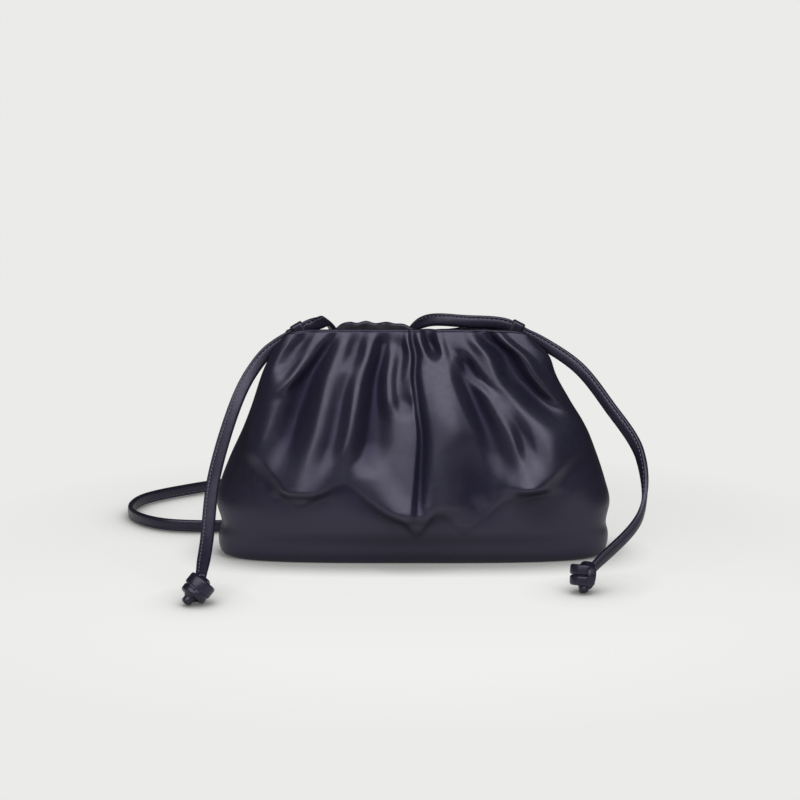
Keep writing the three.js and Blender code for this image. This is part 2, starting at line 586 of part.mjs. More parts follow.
// An overhand knot pulled tight: two turns side by side, one that crosses them, and the cut end.
function makeKnot(knot) {
  const radius = (knotSize - knotBandThickness) / 2;
  const core = new THREE.IcosahedronGeometry(radius, 1);
  const stub = new THREE.ExtrudeGeometry(bandSection(endWidth, endThickness, endCorner), {
    depth: knot.stub * knotSize,
    bevelEnabled: false,
  });
  stub.rotateZ(THREE.MathUtils.degToRad(knot.roll));
  stub.applyQuaternion(turnFrom(new THREE.Vector3(0, 0, 1), knot.end));
  let solid = toSolid(core).add(toSolid(stub));
  for (const turn of knot.turns) solid = solid.add(knotTurn(turn, radius));
  const geometry = fromSolid(solid);
  geometry.computeBoundingBox();
  return geometry.translate(knot.x, knot.y, floorGap - geometry.boundingBox.min.z);
}

const leather = () =>
  new THREE.MeshStandardMaterial({ color: leatherColour, roughness: 0.42, metalness: 0 });

function addMesh(parent, name, geometry) {
  const mesh = new THREE.Mesh(geometry, leather());
  mesh.name = name;
  parent.add(mesh);
  return mesh;
}

const pieces = new THREE.Group();
const pouch = addMesh(pieces, "pouch", makePouch());
addMesh(pieces, "keeper_left", makeKeeper(leftKeeperStart));
addMesh(pieces, "keeper_right", makeKeeper(rightKeeperStart));
addMesh(pieces, "strap", makeStrap());
addMesh(pieces, "knot_left", makeKnot(knots.left));
addMesh(pieces, "knot_right", makeKnot(knots.right));

// The origin lies on the floor under the middle of the pouch.
pouch.geometry.computeBoundingBox();
const middle = pouch.geometry.boundingBox.getCenter(new THREE.Vector3());
pieces.position.set(-middle.x, -middle.y, 0);
const handbag = new THREE.Group();
handbag.add(pieces);

export default handbag;
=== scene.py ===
import math
from collections import namedtuple

import bmesh
import bpy
import numpy as np
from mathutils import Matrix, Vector


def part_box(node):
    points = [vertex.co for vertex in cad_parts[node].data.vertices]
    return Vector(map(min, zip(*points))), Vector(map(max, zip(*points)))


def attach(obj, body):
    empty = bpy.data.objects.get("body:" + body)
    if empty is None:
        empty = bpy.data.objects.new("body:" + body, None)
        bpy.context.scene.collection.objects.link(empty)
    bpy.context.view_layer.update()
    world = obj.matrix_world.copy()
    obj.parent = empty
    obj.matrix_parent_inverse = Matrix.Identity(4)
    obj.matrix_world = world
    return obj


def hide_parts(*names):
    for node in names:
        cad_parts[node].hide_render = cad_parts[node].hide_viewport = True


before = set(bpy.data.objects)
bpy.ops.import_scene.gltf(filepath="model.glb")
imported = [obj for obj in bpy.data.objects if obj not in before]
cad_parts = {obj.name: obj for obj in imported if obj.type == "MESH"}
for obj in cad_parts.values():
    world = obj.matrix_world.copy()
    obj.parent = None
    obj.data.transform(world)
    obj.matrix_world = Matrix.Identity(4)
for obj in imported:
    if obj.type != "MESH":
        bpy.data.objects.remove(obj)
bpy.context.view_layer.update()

bl_info = {
    "name": "Gathered Pouch Handbag",
    "version": (1, 0, 0),
    "blender": (4, 5, 0),
    "location": "3D View > Sidebar > Handbag",
    "description": "Leather surface of a gathered pouch handbag, its strap, keepers and knots",
    "category": "Add Mesh",
}

# Sections of the pouch from the floor up: height is a share of the bag's height, width, shift and
# pinch are shares of its width, depth is a share of its depth, and square is the section's
# exponent: 2 is an ellipse, and more is squarer. Pinch is how far each end is folded in.
Section = namedtuple("Section", "height width shift depth square pinch")
SECTIONS = [
    Section(0.0, 0.93, 0, 0.7, 3.3, 0),
    Section(0.012, 0.966, 0, 0.76, 3.3, 0),
    Section(0.04, 0.986, 0, 0.8, 3.2, 0),
    Section(0.094, 0.992, 0.001, 0.84, 3.1, 0),
    Section(0.15, 0.978, 0.002, 0.93, 2.9, 0),
    Section(0.242, 1, 0, 1, 2.6, 0),
    Section(0.328, 0.976, 0, 1, 2.5, 0),
    Section(0.438, 0.93, 0.002, 0.96, 2.4, 0),
    Section(0.562, 0.872, 0.004, 0.88, 2.4, 0.003),
    Section(0.672, 0.81, -0.003, 0.77, 2.5, 0.006),
    Section(0.797, 0.745, -0.011, 0.6, 3, 0.01),
    Section(0.891, 0.7, -0.009, 0.47, 4, 0.014),
    Section(0.953, 0.642, -0.015, 0.39, 6, 0.014),
    Section(1.0, 0.602, -0.0165, 0.32, 9, 0.014),
]

# Height of the back edge of the mouth against the front one, as shares of the ruffle's height.
Lip = namedtuple("Lip", "across rise")
BACK_LIP = [
    Lip(-1, 0), Lip(-0.86, -1.8), Lip(-0.72, -2.4), Lip(-0.62, -2),
    Lip(-0.55, 0.2), Lip(-0.48, 1), Lip(-0.42, 0.5), Lip(-0.34, 1.1),
    Lip(-0.26, 0.4), Lip(-0.18, 1), Lip(-0.1, 0.3), Lip(-0.02, 0),
    Lip(0.08, -1.6), Lip(0.34, -1.6), Lip(0.5, -0.6), Lip(1, 0),
]

# The gathered leather hangs out over a plain lower panel: edge is the height share at which it
# ends, at places across the front, and rise is how far it hangs out there, a share of the apron.
Edge = namedtuple("Edge", "across edge rise")
APRON = [
    Edge(-1, 0.5, 0.2), Edge(-0.87, 0.47, 0.4), Edge(-0.72, 0.38, 0.8), Edge(-0.57, 0.29, 1),
    Edge(-0.45, 0.34, 0.8), Edge(-0.34, 0.37, 0.7), Edge(-0.2, 0.29, 0.9), Edge(-0.07, 0.23, 1),
    Edge(0.02, 0.17, 1), Edge(0.12, 0.25, 0.4), Edge(0.25, 0.18, 0.3), Edge(0.35, 0.23, 0.4),
    Edge(0.45, 0.3, 0.8), Edge(0.52, 0.32, 1), Edge(0.68, 0.37, 0.8), Edge(0.82, 0.45, 0.5),
    Edge(1, 0.52, 0.2),
]

# A fold's crest runs down from the height share start to tip through the places top, middle and
# bottom, as shares of the half width there. Its half width goes from narrow to broad, and its
# rise, a share of the fold height, from first through midway to last; a negative rise is a
# valley. It runs out over the height share fade, and lean moves its crest to one side, which
# makes that side the steeper one.
Fold = namedtuple("Fold", "start tip top middle bottom narrow broad first midway last fade lean")
FRONT_FOLDS = {
    "left shoulder hollow": Fold(
        1.1, 0.78, -0.8, -0.82, -0.88, 0.12, 0.1, -0.5, -0.4, -0.2, 0.08, 0
    ),
    "left shoulder rim": Fold(1.1, 0.7, -0.6, -0.68, -0.88, 0.08, 0.09, 0.3, 0.3, 0.3, 0.1, 0),
    "left flank": Fold(1, 0.35, -0.9, -0.88, -0.8, 0.16, 0.22, 0.2, 0.5, 0.6, 0.2, 0),
    "left valley": Fold(1.1, 0.36, -0.56, -0.68, -0.74, 0.12, 0.16, -0.3, -0.7, -0.3, 0.2, 0),
    "left point": Fold(1.1, 0.29, -0.47, -0.54, -0.58, 0.12, 0.2, 0, 0.3, 0.9, 0.05, 0.1),
    "left pocket": Fold(1.1, 0.82, -0.39, -0.39, -0.42, 0.1, 0.09, -0.3, -0.3, -0.2, 0.08, 0),
    "second valley": Fold(0.9, 0.33, -0.42, -0.46, -0.48, 0.09, 0.11, -0.1, -0.4, -0.3, 0.2, 0),
    "narrow ridge": Fold(1.1, 0.34, -0.21, -0.34, -0.4, 0.1, 0.12, 0.2, 0.4, 0.6, 0.2, 0),
    "deep valley": Fold(1.1, 0.38, -0.15, -0.22, -0.25, 0.1, 0.17, -0.1, -0.7, -0.5, 0.16, 0),
    "pleat left rim": Fold(0.97, 0.62, -0.13, -0.15, -0.15, 0.07, 0.08, 0.1, 0.3, 0.2, 0.1, 0),
    "box pleat": Fold(1.03, 0.62, -0.07, -0.06, -0.05, 0.08, 0.1, -0.3, -0.3, -0.5, 0.12, 0),
    "pleat edge": Fold(1.1, 0.7, 0.01, 0, -0.06, 0.06, 0.06, 0.2, 0.2, 0.1, 0.1, 0),
    "centre bulge": Fold(0.74, 0.18, -0.03, -0.07, -0.02, 0.1, 0.2, -0.2, 0.1, 0.9, 0.06, 0.1),
    "slanting swell": Fold(0.5, 0.2, -0.3, -0.18, -0.06, 0.15, 0.16, -0.1, 0.2, 0.4, 0.06, 0),
    "centre crease": Fold(1.1, 0.15, 0.045, 0.06, 0.035, 0.05, 0.06, -0.3, -0.4, -0.5, 0.15, -0.4),
    "dimple left rim": Fold(1.1, 0.84, 0.09, 0.1, 0.13, 0.06, 0.06, 0.1, 0.2, 0.1, 0.08, 0),
    "round dimple": Fold(1.1, 0.86, 0.17, 0.17, 0.17, 0.09, 0.07, -0.4, -0.5, -0.4, 0.06, 0),
    "dimple right rim": Fold(1.1, 0.84, 0.27, 0.26, 0.21, 0.06, 0.06, 0.1, 0.2, 0.1, 0.08, 0),
    "right centre ridge": Fold(0.95, 0.2, 0.21, 0.2, 0.15, 0.2, 0.2, 0, 0.7, 0.4, 0.08, 0),
    "right hollow": Fold(0.65, 0.1, 0.27, 0.3, 0.31, 0.18, 0.22, 0, -0.7, -0.2, 0.25, 0),
    "slanting crease": Fold(0.97, 0.3, 0.32, 0.42, 0.51, 0.1, 0.12, -0.2, -0.6, -0.3, 0.2, 0),
    "upper pocket": Fold(0.93, 0.72, 0.35, 0.43, 0.54, 0.08, 0.09, -0.2, -0.4, -0.2, 0.08, 0),
    "left limb": Fold(0.9, 0.31, 0.42, 0.52, 0.57, 0.12, 0.15, 0, 0.2, 0.7, 0.05, 0),
    "right point": Fold(0.8, 0.3, 0.62, 0.72, 0.6, 0.14, 0.16, 0, 0.4, 0.6, 0.05, 0),
    "point hollow": Fold(0.68, 0.4, 0.6, 0.61, 0.61, 0.07, 0.07, -0.1, -0.3, -0.1, 0.12, 0),
    "thin ridge": Fold(1.1, 0.7, 0.48, 0.54, 0.6, 0.08, 0.1, 0.2, 0.2, 0.1, 0.1, 0),
    "right valley": Fold(1.1, 0.58, 0.6, 0.7, 0.88, 0.12, 0.18, -0.3, -0.7, -0.6, 0.14, 0),
    "shoulder ridge": Fold(1.1, 0.62, 0.67, 0.81, 0.94, 0.09, 0.1, 0.4, 0.4, 0.2, 0.14, 0),
    "right flank": Fold(0.68, 0.2, 0.84, 0.8, 0.78, 0.16, 0.2, 0.3, 0.4, 0.2, 0.14, 0),
}
BACK_FOLDS = {
    "first valley": Fold(1.1, 0.6, -0.8, -0.85, -0.9, 0.07, 0.06, -0.4, -0.3, -0.25, 0.12, 0),
    "first ridge": Fold(1.1, 0.34, -0.64, -0.7, -0.74, 0.07, 0.12, 0.3, 0.4, 0.45, 0.12, 0),
    "second valley": Fold(1.1, 0.42, -0.48, -0.53, -0.56, 0.06, 0.08, -0.45, -0.4, -0.4, 0.12, 0),
    "second ridge": Fold(1.1, 0.24, -0.34, -0.38, -0.42, 0.07, 0.13, 0.3, 0.4, 0.5, 0.12, 0),
    "third valley": Fold(1.1, 0.36, -0.19, -0.21, -0.22, 0.06, 0.07, -0.5, -0.45, -0.4, 0.12, 0),
    "middle ridge": Fold(1.1, 0.2, -0.03, -0.04, -0.03, 0.07, 0.13, 0.3, 0.4, 0.5, 0.12, 0),
    "fourth valley": Fold(1.1, 0.4, 0.12, 0.14, 0.17, 0.06, 0.08, -0.5, -0.45, -0.4, 0.12, 0),
    "third ridge": Fold(1.1, 0.3, 0.27, 0.32, 0.36, 0.07, 0.12, 0.3, 0.4, 0.5, 0.12, 0),
    "fifth valley": Fold(1.1, 0.44, 0.42, 0.47, 0.52, 0.06, 0.08, -0.45, -0.4, -0.3, 0.12, 0),
    "last ridge": Fold(1.1, 0.36, 0.57, 0.63, 0.69, 0.07, 0.11, 0.3, 0.35, 0.4, 0.12, 0),
    "last valley": Fold(1.1, 0.58, 0.74, 0.8, 0.87, 0.07, 0.06, -0.4, -0.3, -0.25, 0.12, 0),
}

# The strap's route from the left knot to the right one, in metres, with roll, the angle of
# its broad side above the level, in degrees.
Place = namedtuple("Place", "x y z roll")
STRAP_ROUTE = [
    Place(-0.1085, -0.0981, 0.0128, 0), Place(-0.1074, -0.08, 0.025, 0),
    Place(-0.1059, -0.0497, 0.0534, 5), Place(-0.0966, -0.016, 0.0874, 35),
    Place(-0.0897, -0.0071, 0.1014, 60), Place(-0.0812, -0.0026, 0.1124, 80),
    Place(-0.0742, -0.0002, 0.1177, 90), Place(-0.0677, 0.0004, 0.1215, 90),
    Place(-0.0573, 0.0004, 0.1276, 90), Place(-0.0523, 0.0044, 0.1286, 70),
    Place(-0.0475, 0.0128, 0.1279, 30), Place(-0.0336, 0.0332, 0.0944, 0),
    Place(-0.0202, 0.0488, 0.0484, -5), Place(-0.003, 0.063, 0.0175, -45),
    Place(0.032, 0.08, 0.0045, -90), Place(0.0525, 0.096, 0.0045, -90),
    Place(0.0615, 0.12, 0.0045, -90), Place(0.031, 0.159, 0.0045, -90),
    Place(-0.036, 0.171, 0.0045, -90), Place(-0.103, 0.1625, 0.0045, -90),
    Place(-0.142, 0.138, 0.0045, -90), Place(-0.167, 0.108, 0.0045, -90),
    Place(-0.168, 0.073, 0.0045, -90), Place(-0.145, 0.0465, 0.0045, -90),
    Place(-0.1, 0.0443, 0.0045, -90), Place(-0.078, 0.0505, 0.007, -80),
    Place(-0.057, 0.0585, 0.0185, -55), Place(-0.0388, 0.0582, 0.0402, -30),
    Place(-0.017, 0.0416, 0.086, 5), Place(-0.005, 0.0226, 0.1178, 35),
    Place(0.0073, 0.0106, 0.1289, 70), Place(0.03, 0.0018, 0.1299, 86),
    Place(0.0511, 0, 0.1283, 90), Place(0.0617, 0, 0.1228, 90),
    Place(0.069, 0, 0.1193, 88), Place(0.0898, -0.0086, 0.1062, 80),
    Place(0.1058, -0.022, 0.087, 80), Place(0.1212, -0.038, 0.063, 80),
    Place(0.1204, -0.0547, 0.0348, 80), Place(0.0926, -0.0769, 0.0104, 80),
]
# The keepers sit on the stretches of the route that start at these places.
KEEPER_STARTS = {"left": 7, "right": 32}

# A knot lies on the floor. Each turn is a band round axis: radius is a share of the knot's core,
# offset along the axis and width are shares of the band in the knot. The strap's folded end
# leaves along end for the share stub of the knot's size, rolled by roll degrees.
Turn = namedtuple("Turn", "axis radius offset width")
Knot = namedtuple("Knot", "turns end stub roll")
KNOTS = {
    "left": Knot(
        turns=(
            Turn((-0.62, -0.3, -0.72), 0.98, -0.42, 1.2),
            Turn((-0.56, -0.4, -0.72), 0.88, 0.5, 0.8),
            Turn((0.75, -0.45, -0.5), 0.94, 0, 1),
        ),
        end=(-0.62, -0.42, -0.66), stub=0.62, roll=20,
    ),
    "right": Knot(
        turns=(
            Turn((-0.08, -0.25, -0.96), 0.86, -0.5, 1),
            Turn((-0.05, -0.2, -0.98), 0.84, 0.5, 0.95),
            Turn((0.93, 0.3, -0.2), 0.98, 0.4, 0.95),
        ),
        end=(0.05, -0.4, -0.92), stub=0.6, roll=0,
    ),
}

# Share of a side of the pouch that has its columns at an even spacing.
EVEN_COLUMNS = 0.8

# The hem flattens this share of the folds, from this share of the height on.
MOUTH_CALM = 0.5
NEAR_MOUTH = 0.93
# The folds run out over this share of the depth at the bag's ends.
CALM_END = 0.4
# How sharply the wall turns round at the ends.
END_TURN = 6
# The soft fold in an end reaches at most this share of the half depth.
PINCH_SHARE = 0.8
# The mouth's edge starts to rise and dip at this share of the height.
LIP_START = 0.8
# The rounded foot ends, and the folds start, between these two shares of the height.
FOOT_SHARE = 0.04
FOLD_SHARE = 0.06
# Height shares of the rings round the foot's rounding.
FOOT_RINGS = (0, 0.004, 0.012, 0.025, FOOT_SHARE)
# The wall thickens into the hem from this share of the height on.
HEM_START = 0.9
# Share of the apron's tuck that lies above its edge.
APRON_SHOULDER = 0.35
# The painted shade in the crease under the apron's edge: how far below it as a share of the tuck,
# and how dark it is painted.
APRON_CREASE = 0.4
APRON_PAINTED_SHADE = 0.8
# Least half width of a fold, as a share of the half width of the bag.
NARROWEST = 0.03

# A ring's folds are measured from their mean over one part in this many of it to each side, to set
# the painted shade in their hollows.
HOLLOW_PARTS = 22

# Rings of the mesh round one turn of a knot.
LOOP_RINGS = 72
# The rounded, slightly hollow cut end of the strap: shares of its length and of its section.
END_RINGS = (
    (0, 1), (0.5, 1), (0.8, 1), (0.9, 0.98), (0.96, 0.93), (1.0, 0.8), (0.99, 0.6), (0.94, 0.42),
    (0.88, 0.25),
)

# The leathers shine faintly violet.
LEATHER_TINT = (0.82, 0.78, 1)

# Radius of the floor that is lit, in metres. What lies beyond it is only seen by the camera, and
# the change starts at the distance TABLE_FADE.
TABLE = 0.3
TABLE_FADE = 0.2
# The lit floor: the share of its colour that is paint, and how bright it glows beside and away
# from what stands on it.
FLOOR_PAINT = 0.3
SHADED_GLOW = 0.12
OPEN_GLOW = 0.72
# The backdrop, in metres: a flat ring, a bend in a few steps and a wall.
BACKDROP_SIDES = 96
BACKDROP_FLOOR = 2.2
BACKDROP_BEND = 1.2
BACKDROP_TOP = 5.0
BEND_STEPS = 12

# The camera and the softbox above and in front of the bag, in metres and degrees.
CAMERA_PLACE = (-0.00727, -1.02607, 0.26786)
CAMERA_TILT = 80
SOFTBOX_PLACE = (0, -0.78, 0.9)
SOFTBOX_AIM = (0, 0, 0.06)
SOFTBOX_SIZE = (2.1, 1.0)
SOFTBOX_RADIANCE = 3.8
ROOM_GLOW = 0.06


def length_prop(name, description, default):
    """A length, in metres."""
    return bpy.props.FloatProperty(
        name=name, description=description, default=default, unit="LENGTH"
    )


def share_prop(name, description, default, least=0):
    """A share of something, up to all of it."""
    return bpy.props.FloatProperty(
        name=name, description=description, default=default, min=least, max=1
    )


def count_prop(name, description, default, least):
    """A number of rows or columns."""
    return bpy.props.IntProperty(name=name, description=description, default=default, min=least)


def colour_prop(name, description, default):
    """A linear colour."""
    return bpy.props.FloatVectorProperty(
        name=name, description=description, subtype="COLOR", default=default, size=3, min=0, max=1
    )


class PouchSizes(bpy.types.PropertyGroup):
    """Sizes of the pouch"""

    width: length_prop("Width", "Across the bulge above the base", 0.219)
    height: length_prop("Height", "Floor to the front edge of the mouth", 0.1273)
    depth: length_prop("Depth", "Front to back across the body, without the folds", 0.072)
    wall: length_prop("Wall", "Leather with its backing", 0.0024)
    hem: length_prop("Hem", "Turned edge round the mouth", 0.003)
    base: length_prop("Base", "Leather over the stiff base", 0.003)
    fold: length_prop("Fold", "How far a fold with a share of one stands proud", 0.008)
    apron: length_prop("Apron", "How far the gathers hang out over the plain lower panel", 0.004)
    apron_tuck: share_prop("Apron tuck", "Share of the height in which the apron ends", 0.05, 0.01)
    apron_fade: share_prop(
        "Apron fade", "Share of the height in which the apron grows downwards", 0.3, 0.01
    )
    # A fold this deep gets the full painted shade in its floor.
    hollow: length_prop("Hollow", "Depth of a fold whose floor is fully dull", 0.004)
    back_lip: length_prop("Back ruffle", "Rise of the back edge of the mouth", 0.0016)
    end_drop: length_prop("End drop", "The mouth's edge is this much lower near its ends", 0.002)
    end_dip: length_prop(
        "End dip", "Depth of the edge's dip where the strap leaves the mouth", 0.0105
    )
    end_pinch: length_prop("End pinch", "Half the width of the soft fold in each end", 0.007)
    front_columns: count_prop("Front columns", "Columns of the mesh along the front", 300, 40)
    back_columns: count_prop("Back columns", "Columns of the mesh along the back", 150, 40)
    outer_rows: count_prop("Outer rows", "Rows of the mesh up the outside", 150, 20)
    inner_rows: count_prop("Inner rows", "Rows of the mesh down the inside", 34, 8)


class StrapSizes(bpy.types.PropertyGroup):
    """Sizes of the strap, its keepers and its knots"""

    width: length_prop("Width", "Width of the folded strap", 0.007)
    thickness: length_prop("Thickness", "Thickness of the folded strap", 0.0028)
    station: length_prop("Station", "Length of the strap between two rings of its mesh", 0.0016)
    seam: length_prop("Seam", "Distance of the stitching from the strap's edge", 0.0016)
    stitch_pitch: length_prop("Stitch pitch", "Distance from one stitch to the next", 0.0024)
    stitch_length: length_prop("Stitch length", "Length of one stitch", 0.0017)
    thread: length_prop("Thread", "Thickness of the thread", 0.00045)
    keeper_length: length_prop("Keeper length", "Length of a keeper along the strap", 0.0068)
    keeper_thickness: length_prop("Keeper thickness", "Leather of a keeper's band", 0.001)
    keeper_room: length_prop("Keeper room", "Clearance between the strap and a keeper", 0.00035)
    knot_size: length_prop("Knot size", "Across a tightened knot", 0.015)
    knot_tuck: length_prop("Knot tuck", "Length of each end of the strap that a knot hides", 0.0025)
    squeeze: share_prop("Squeeze", "Share of the strap's width lost where it enters a knot", 0.2)
    end_width: length_prop("End width", "Width of the folded end that sticks out of a knot", 0.0066)
    end_thickness: length_prop("End thickness", "Thickness of the folded end", 0.005)
    knot_band: length_prop("Knot band", "Width of the strap where it is squeezed in a knot", 0.0054)
    knot_thickness: length_prop("Knot thickness", "Thickness of the strap in a knot", 0.003)


class Finishes(bpy.types.PropertyGroup):
    """Colours and finishes"""

    pouch_dark: colour_prop(
        "Pouch leather", "Colour of the pouch leather", (0.0074, 0.0067, 0.0162)
    )
    # Painted light and shade: the pouch is painted this lighter colour on its fold crests (partly
    # crest wear) and darker in its valleys; the grain's lighter specks use it too.
    pouch_lit_crest_and_speck: colour_prop(
        "Pouch crests", "Colour of the leather on the crests of its folds", (0.0115, 0.0107, 0.0225)
    )
    # Painted shade: the leather's shine is tinted this dark in fold floors and under the apron's
    # edge.
    pouch_painted_shade: colour_prop(
        "Pouch hollows", "Shine of the leather in the floor of a fold", (0.24, 0.22, 0.36)
    )
    strap_dark: colour_prop(
        "Strap leather", "Colour of the strap leather", (0.0062, 0.0056, 0.0125)
    )
    lining: colour_prop("Lining", "Colour of the suede inside", (0.016, 0.0148, 0.022))
    thread: colour_prop("Thread", "Colour of the stitching", (0.14, 0.135, 0.17))
    studio: colour_prop("Studio", "Colour of the floor and backdrop", (0.831, 0.831, 0.815))
    contact_shadow: length_prop(
        "Contact shadow", "How far the shadow reaches where the bag stands", 0.028
    )
    pouch_roughness: share_prop("Pouch roughness", "Roughness of the pouch leather", 0.41)
    strap_roughness: share_prop("Strap roughness", "Roughness of the strap leather", 0.38)


def smoothstep(low, high, value):
    t = np.clip((value - low) / (high - low), 0.0, 1.0)
    return t * t * (3 - 2 * t)


def table_curve(table, key, column, place):
    """One column of a table as a smooth curve through its rows, at many places along key."""
    keys = np.array([getattr(row, key) for row in table], dtype=float)
    values = np.array([getattr(row, column) for row in table], dtype=float)
    last = len(keys) - 1
    at = np.clip(place, keys[0], keys[-1])
    row = np.clip(np.searchsorted(keys, at, side="left") - 1, 0, last - 1)
    low = np.maximum(np.arange(last + 1) - 1, 0)
    high = np.minimum(np.arange(last + 1) + 1, last)
    slope = (values[high] - values[low]) / (keys[high] - keys[low])
    span = keys[row + 1] - keys[row]
    t = (at - keys[row]) / span
    rise = values[row + 1] - values[row]
    bend_low = slope[row] * span - rise
    bend_high = rise - slope[row + 1] * span
    return values[row] + t * rise + t * (1 - t) * ((1 - t) * bend_low + t * bend_high)


def through_three(first, second, third, t):
    """A parabola through three values at t = 0, 0.5 and 1."""
    return first * (1 - t) * (1 - 2 * t) + second * 4 * t * (1 - t) + third * t * (2 * t - 1)


def apron_offset(pouch, across, height):
    """How far the gathered leather hangs out over the plain panel below it."""
    above = height - table_curve(APRON, "across", "edge", across)
    shoulder = smoothstep(-pouch.apron_tuck, APRON_SHOULDER * pouch.apron_tuck, above)
    rise = pouch.apron * table_curve(APRON, "across", "rise", across)
    return rise * shoulder * np.exp(-np.maximum(above, 0) / pouch.apron_fade)


def fold_offset(folds, across, height):
    """How far the folds move the leather out, as a share of the fold height."""
    offset = np.zeros(np.broadcast(across, height).shape)
    for fold in folds.values():
        t = np.clip((fold.start - height) / (fold.start - fold.tip), 0, 1)
        crest = through_three(fold.top, fold.middle, fold.bottom, t)
        half_width = np.maximum(fold.narrow + (fold.broad - fold.narrow) * t, NARROWEST)
        away = (across - crest) / half_width
        away = np.abs(away - fold.lean * (1 - np.clip(away * away, 0, 1)))
        share = through_three(fold.first, fold.midway, fold.last, t)
        run_out = smoothstep(fold.tip, fold.tip + fold.fade, height)
        run_in = 1 - smoothstep(fold.start - fold.fade, fold.start, height)
        bump = np.where(away < 1, 0.5 + 0.5 * np.cos(np.pi * np.minimum(away, 1)), 0)
        offset += share * run_out * run_in * bump
    return offset * (1 - MOUTH_CALM * smoothstep(NEAR_MOUTH, 1, height))


def pouch_points(pouch, across, side, share, inset, fold_share):
    """Points of the pouch, and how far the folds move each of them."""
    across = np.asarray(across, dtype=float)
    height = np.full(across.shape, float(share))
    half_width = table_curve(SECTIONS, "height", "width", height) * pouch.width / 2
    half_depth = table_curve(SECTIONS, "height", "depth", height) * pouch.depth / 2
    square = table_curve(SECTIONS, "height", "square", height)
    bulge = np.maximum(1 - np.abs(across) ** square, 0) ** (1 / square)
    pinch_reach = np.minimum(pouch.end_pinch, PINCH_SHARE * half_depth)
    pinch = 0.5 + 0.5 * np.cos(np.pi * np.minimum(bulge * half_depth / pinch_reach, 1))
    pinch_depth = table_curve(SECTIONS, "height", "pinch", height) * pouch.width
    reach = half_width * np.abs(across) - inset * np.abs(across) ** END_TURN - pinch_depth * pinch
    folds = FRONT_FOLDS if side < 0 else BACK_FOLDS
    offset = fold_offset(folds, across, height)
    if side < 0:
        offset += apron_offset(pouch, across, height) / pouch.fold
    offset *= np.minimum(1, bulge / CALM_END)
    ruffle = 0
    if side > 0:
        ruffle = pouch.back_lip * table_curve(BACK_LIP, "across", "rise", across)
    lip = ruffle * (1 - pinch) - pouch.end_drop * across**8 - pouch.end_dip * pinch
    shift = table_curve(SECTIONS, "height", "shift", height) * pouch.width
    points = np.stack(
        [
            shift + np.sign(across) * reach,
            side * ((half_depth - inset) * bulge + pouch.fold * fold_share * offset),
            height * pouch.height + lip * smoothstep(LIP_START, 1, height),
        ],
        axis=1,
    )
    return points, offset


def column_places(count):
    """Columns at an even spacing along a side, and closer together towards its ends."""
    even = -1 + 2 * np.arange(count) / count
    stretch = 2 / (1 + EVEN_COLUMNS)
    left = 1 - np.abs(even)
    ends = np.sign(even) * (1 - stretch * left * left / (2 * (1 - EVEN_COLUMNS)))
    return np.where(np.abs(even) < EVEN_COLUMNS, even * stretch, ends)


def pouch_ring(pouch, share, inset, fold_share, drop=0.0):
    """The closed ring of points round the pouch at one height share, with the folds' offsets."""
    front, front_folds = pouch_points(
        pouch, column_places(pouch.front_columns), -1, share, inset, fold_share
    )
    back, back_folds = pouch_points(
        pouch, -column_places(pouch.back_columns), 1, share, inset, fold_share
    )
    ring = np.concatenate([front, back])
    ring[:, 2] -= drop
    return ring, np.concatenate([front_folds, back_folds])


def hollows(offsets, share, pouch):
    """How deep each point of a ring lies in a fold or under the apron's edge, as a share: it sets
    the painted shade in the leather's shine there.
    """
    reach = len(offsets) // HOLLOW_PARTS
    wrapped = np.concatenate([offsets[-reach:], offsets, offsets[:reach]])
    mean = np.convolve(wrapped, np.full(2 * reach + 1, 1 / (2 * reach + 1)), mode="valid")
    deep = (mean - offsets) * pouch.fold / pouch.hollow
    places = column_places(pouch.front_columns)
    edge = table_curve(APRON, "across", "edge", places)
    # A band of painted shade under the apron's edge.
    under = np.exp(-(((share - edge) / pouch.apron_tuck + APRON_CREASE) / APRON_CREASE) ** 2)
    under *= APRON_PAINTED_SHADE * table_curve(APRON, "across", "rise", places)
    deep[: pouch.front_columns] += under
    return np.clip(deep, 0, 1)


def pouch_shift(pouch):
    """The pouch's drawing is moved so that its middle is where the frame's pouch has its own."""
    rings = [pouch_ring(pouch, share, 0, 1)[0] for share in np.linspace(FOOT_SHARE, 1, 97)]
    ring = np.concatenate(rings)
    middle = (ring.min(axis=0) + ring.max(axis=0)) / 2
    low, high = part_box("pouch")
    return np.array([(low[0] + high[0]) / 2 - middle[0], (low[1] + high[1]) / 2 - middle[1], 0])


def ring_angles(count):
    return [2 * math.pi * k / count for k in range(count)]


def mesh_object(name, points, faces, materials):
    """A smooth mesh with its materials, as a new object."""
    mesh = bpy.data.meshes.new(name)
    mesh.from_pydata(np.asarray(points).tolist(), [], [list(face) for face in faces])
    mesh.polygons.foreach_set("use_smooth", [True] * len(mesh.polygons))
    for material in materials:
        mesh.materials.append(material)
    obj = bpy.data.objects.new(name, mesh)
    bpy.context.scene.collection.objects.link(obj)
    return obj


def ring_faces(rings, count):
    """Quads between rings of count points each."""
    low = np.arange(rings - 1)[:, None] * count + np.arange(count)[None, :]
    following = np.arange(rings - 1)[:, None] * count + (np.arange(count)[None, :] + 1) % count
    quads = np.stack([low, following, following + count, low + count], axis=2)
    return quads.reshape(-1, 4).tolist()


def capped_faces(rings, count):
    """Quads between the rings, and fans to the two points that follow them."""
    faces = ring_faces(rings, count)
    first, top = rings * count, (rings - 1) * count
    for k in range(count):
        following = (k + 1) % count
        faces.append([first, following, k])
        faces.append([first + 1, top + k, top + following])
    return faces


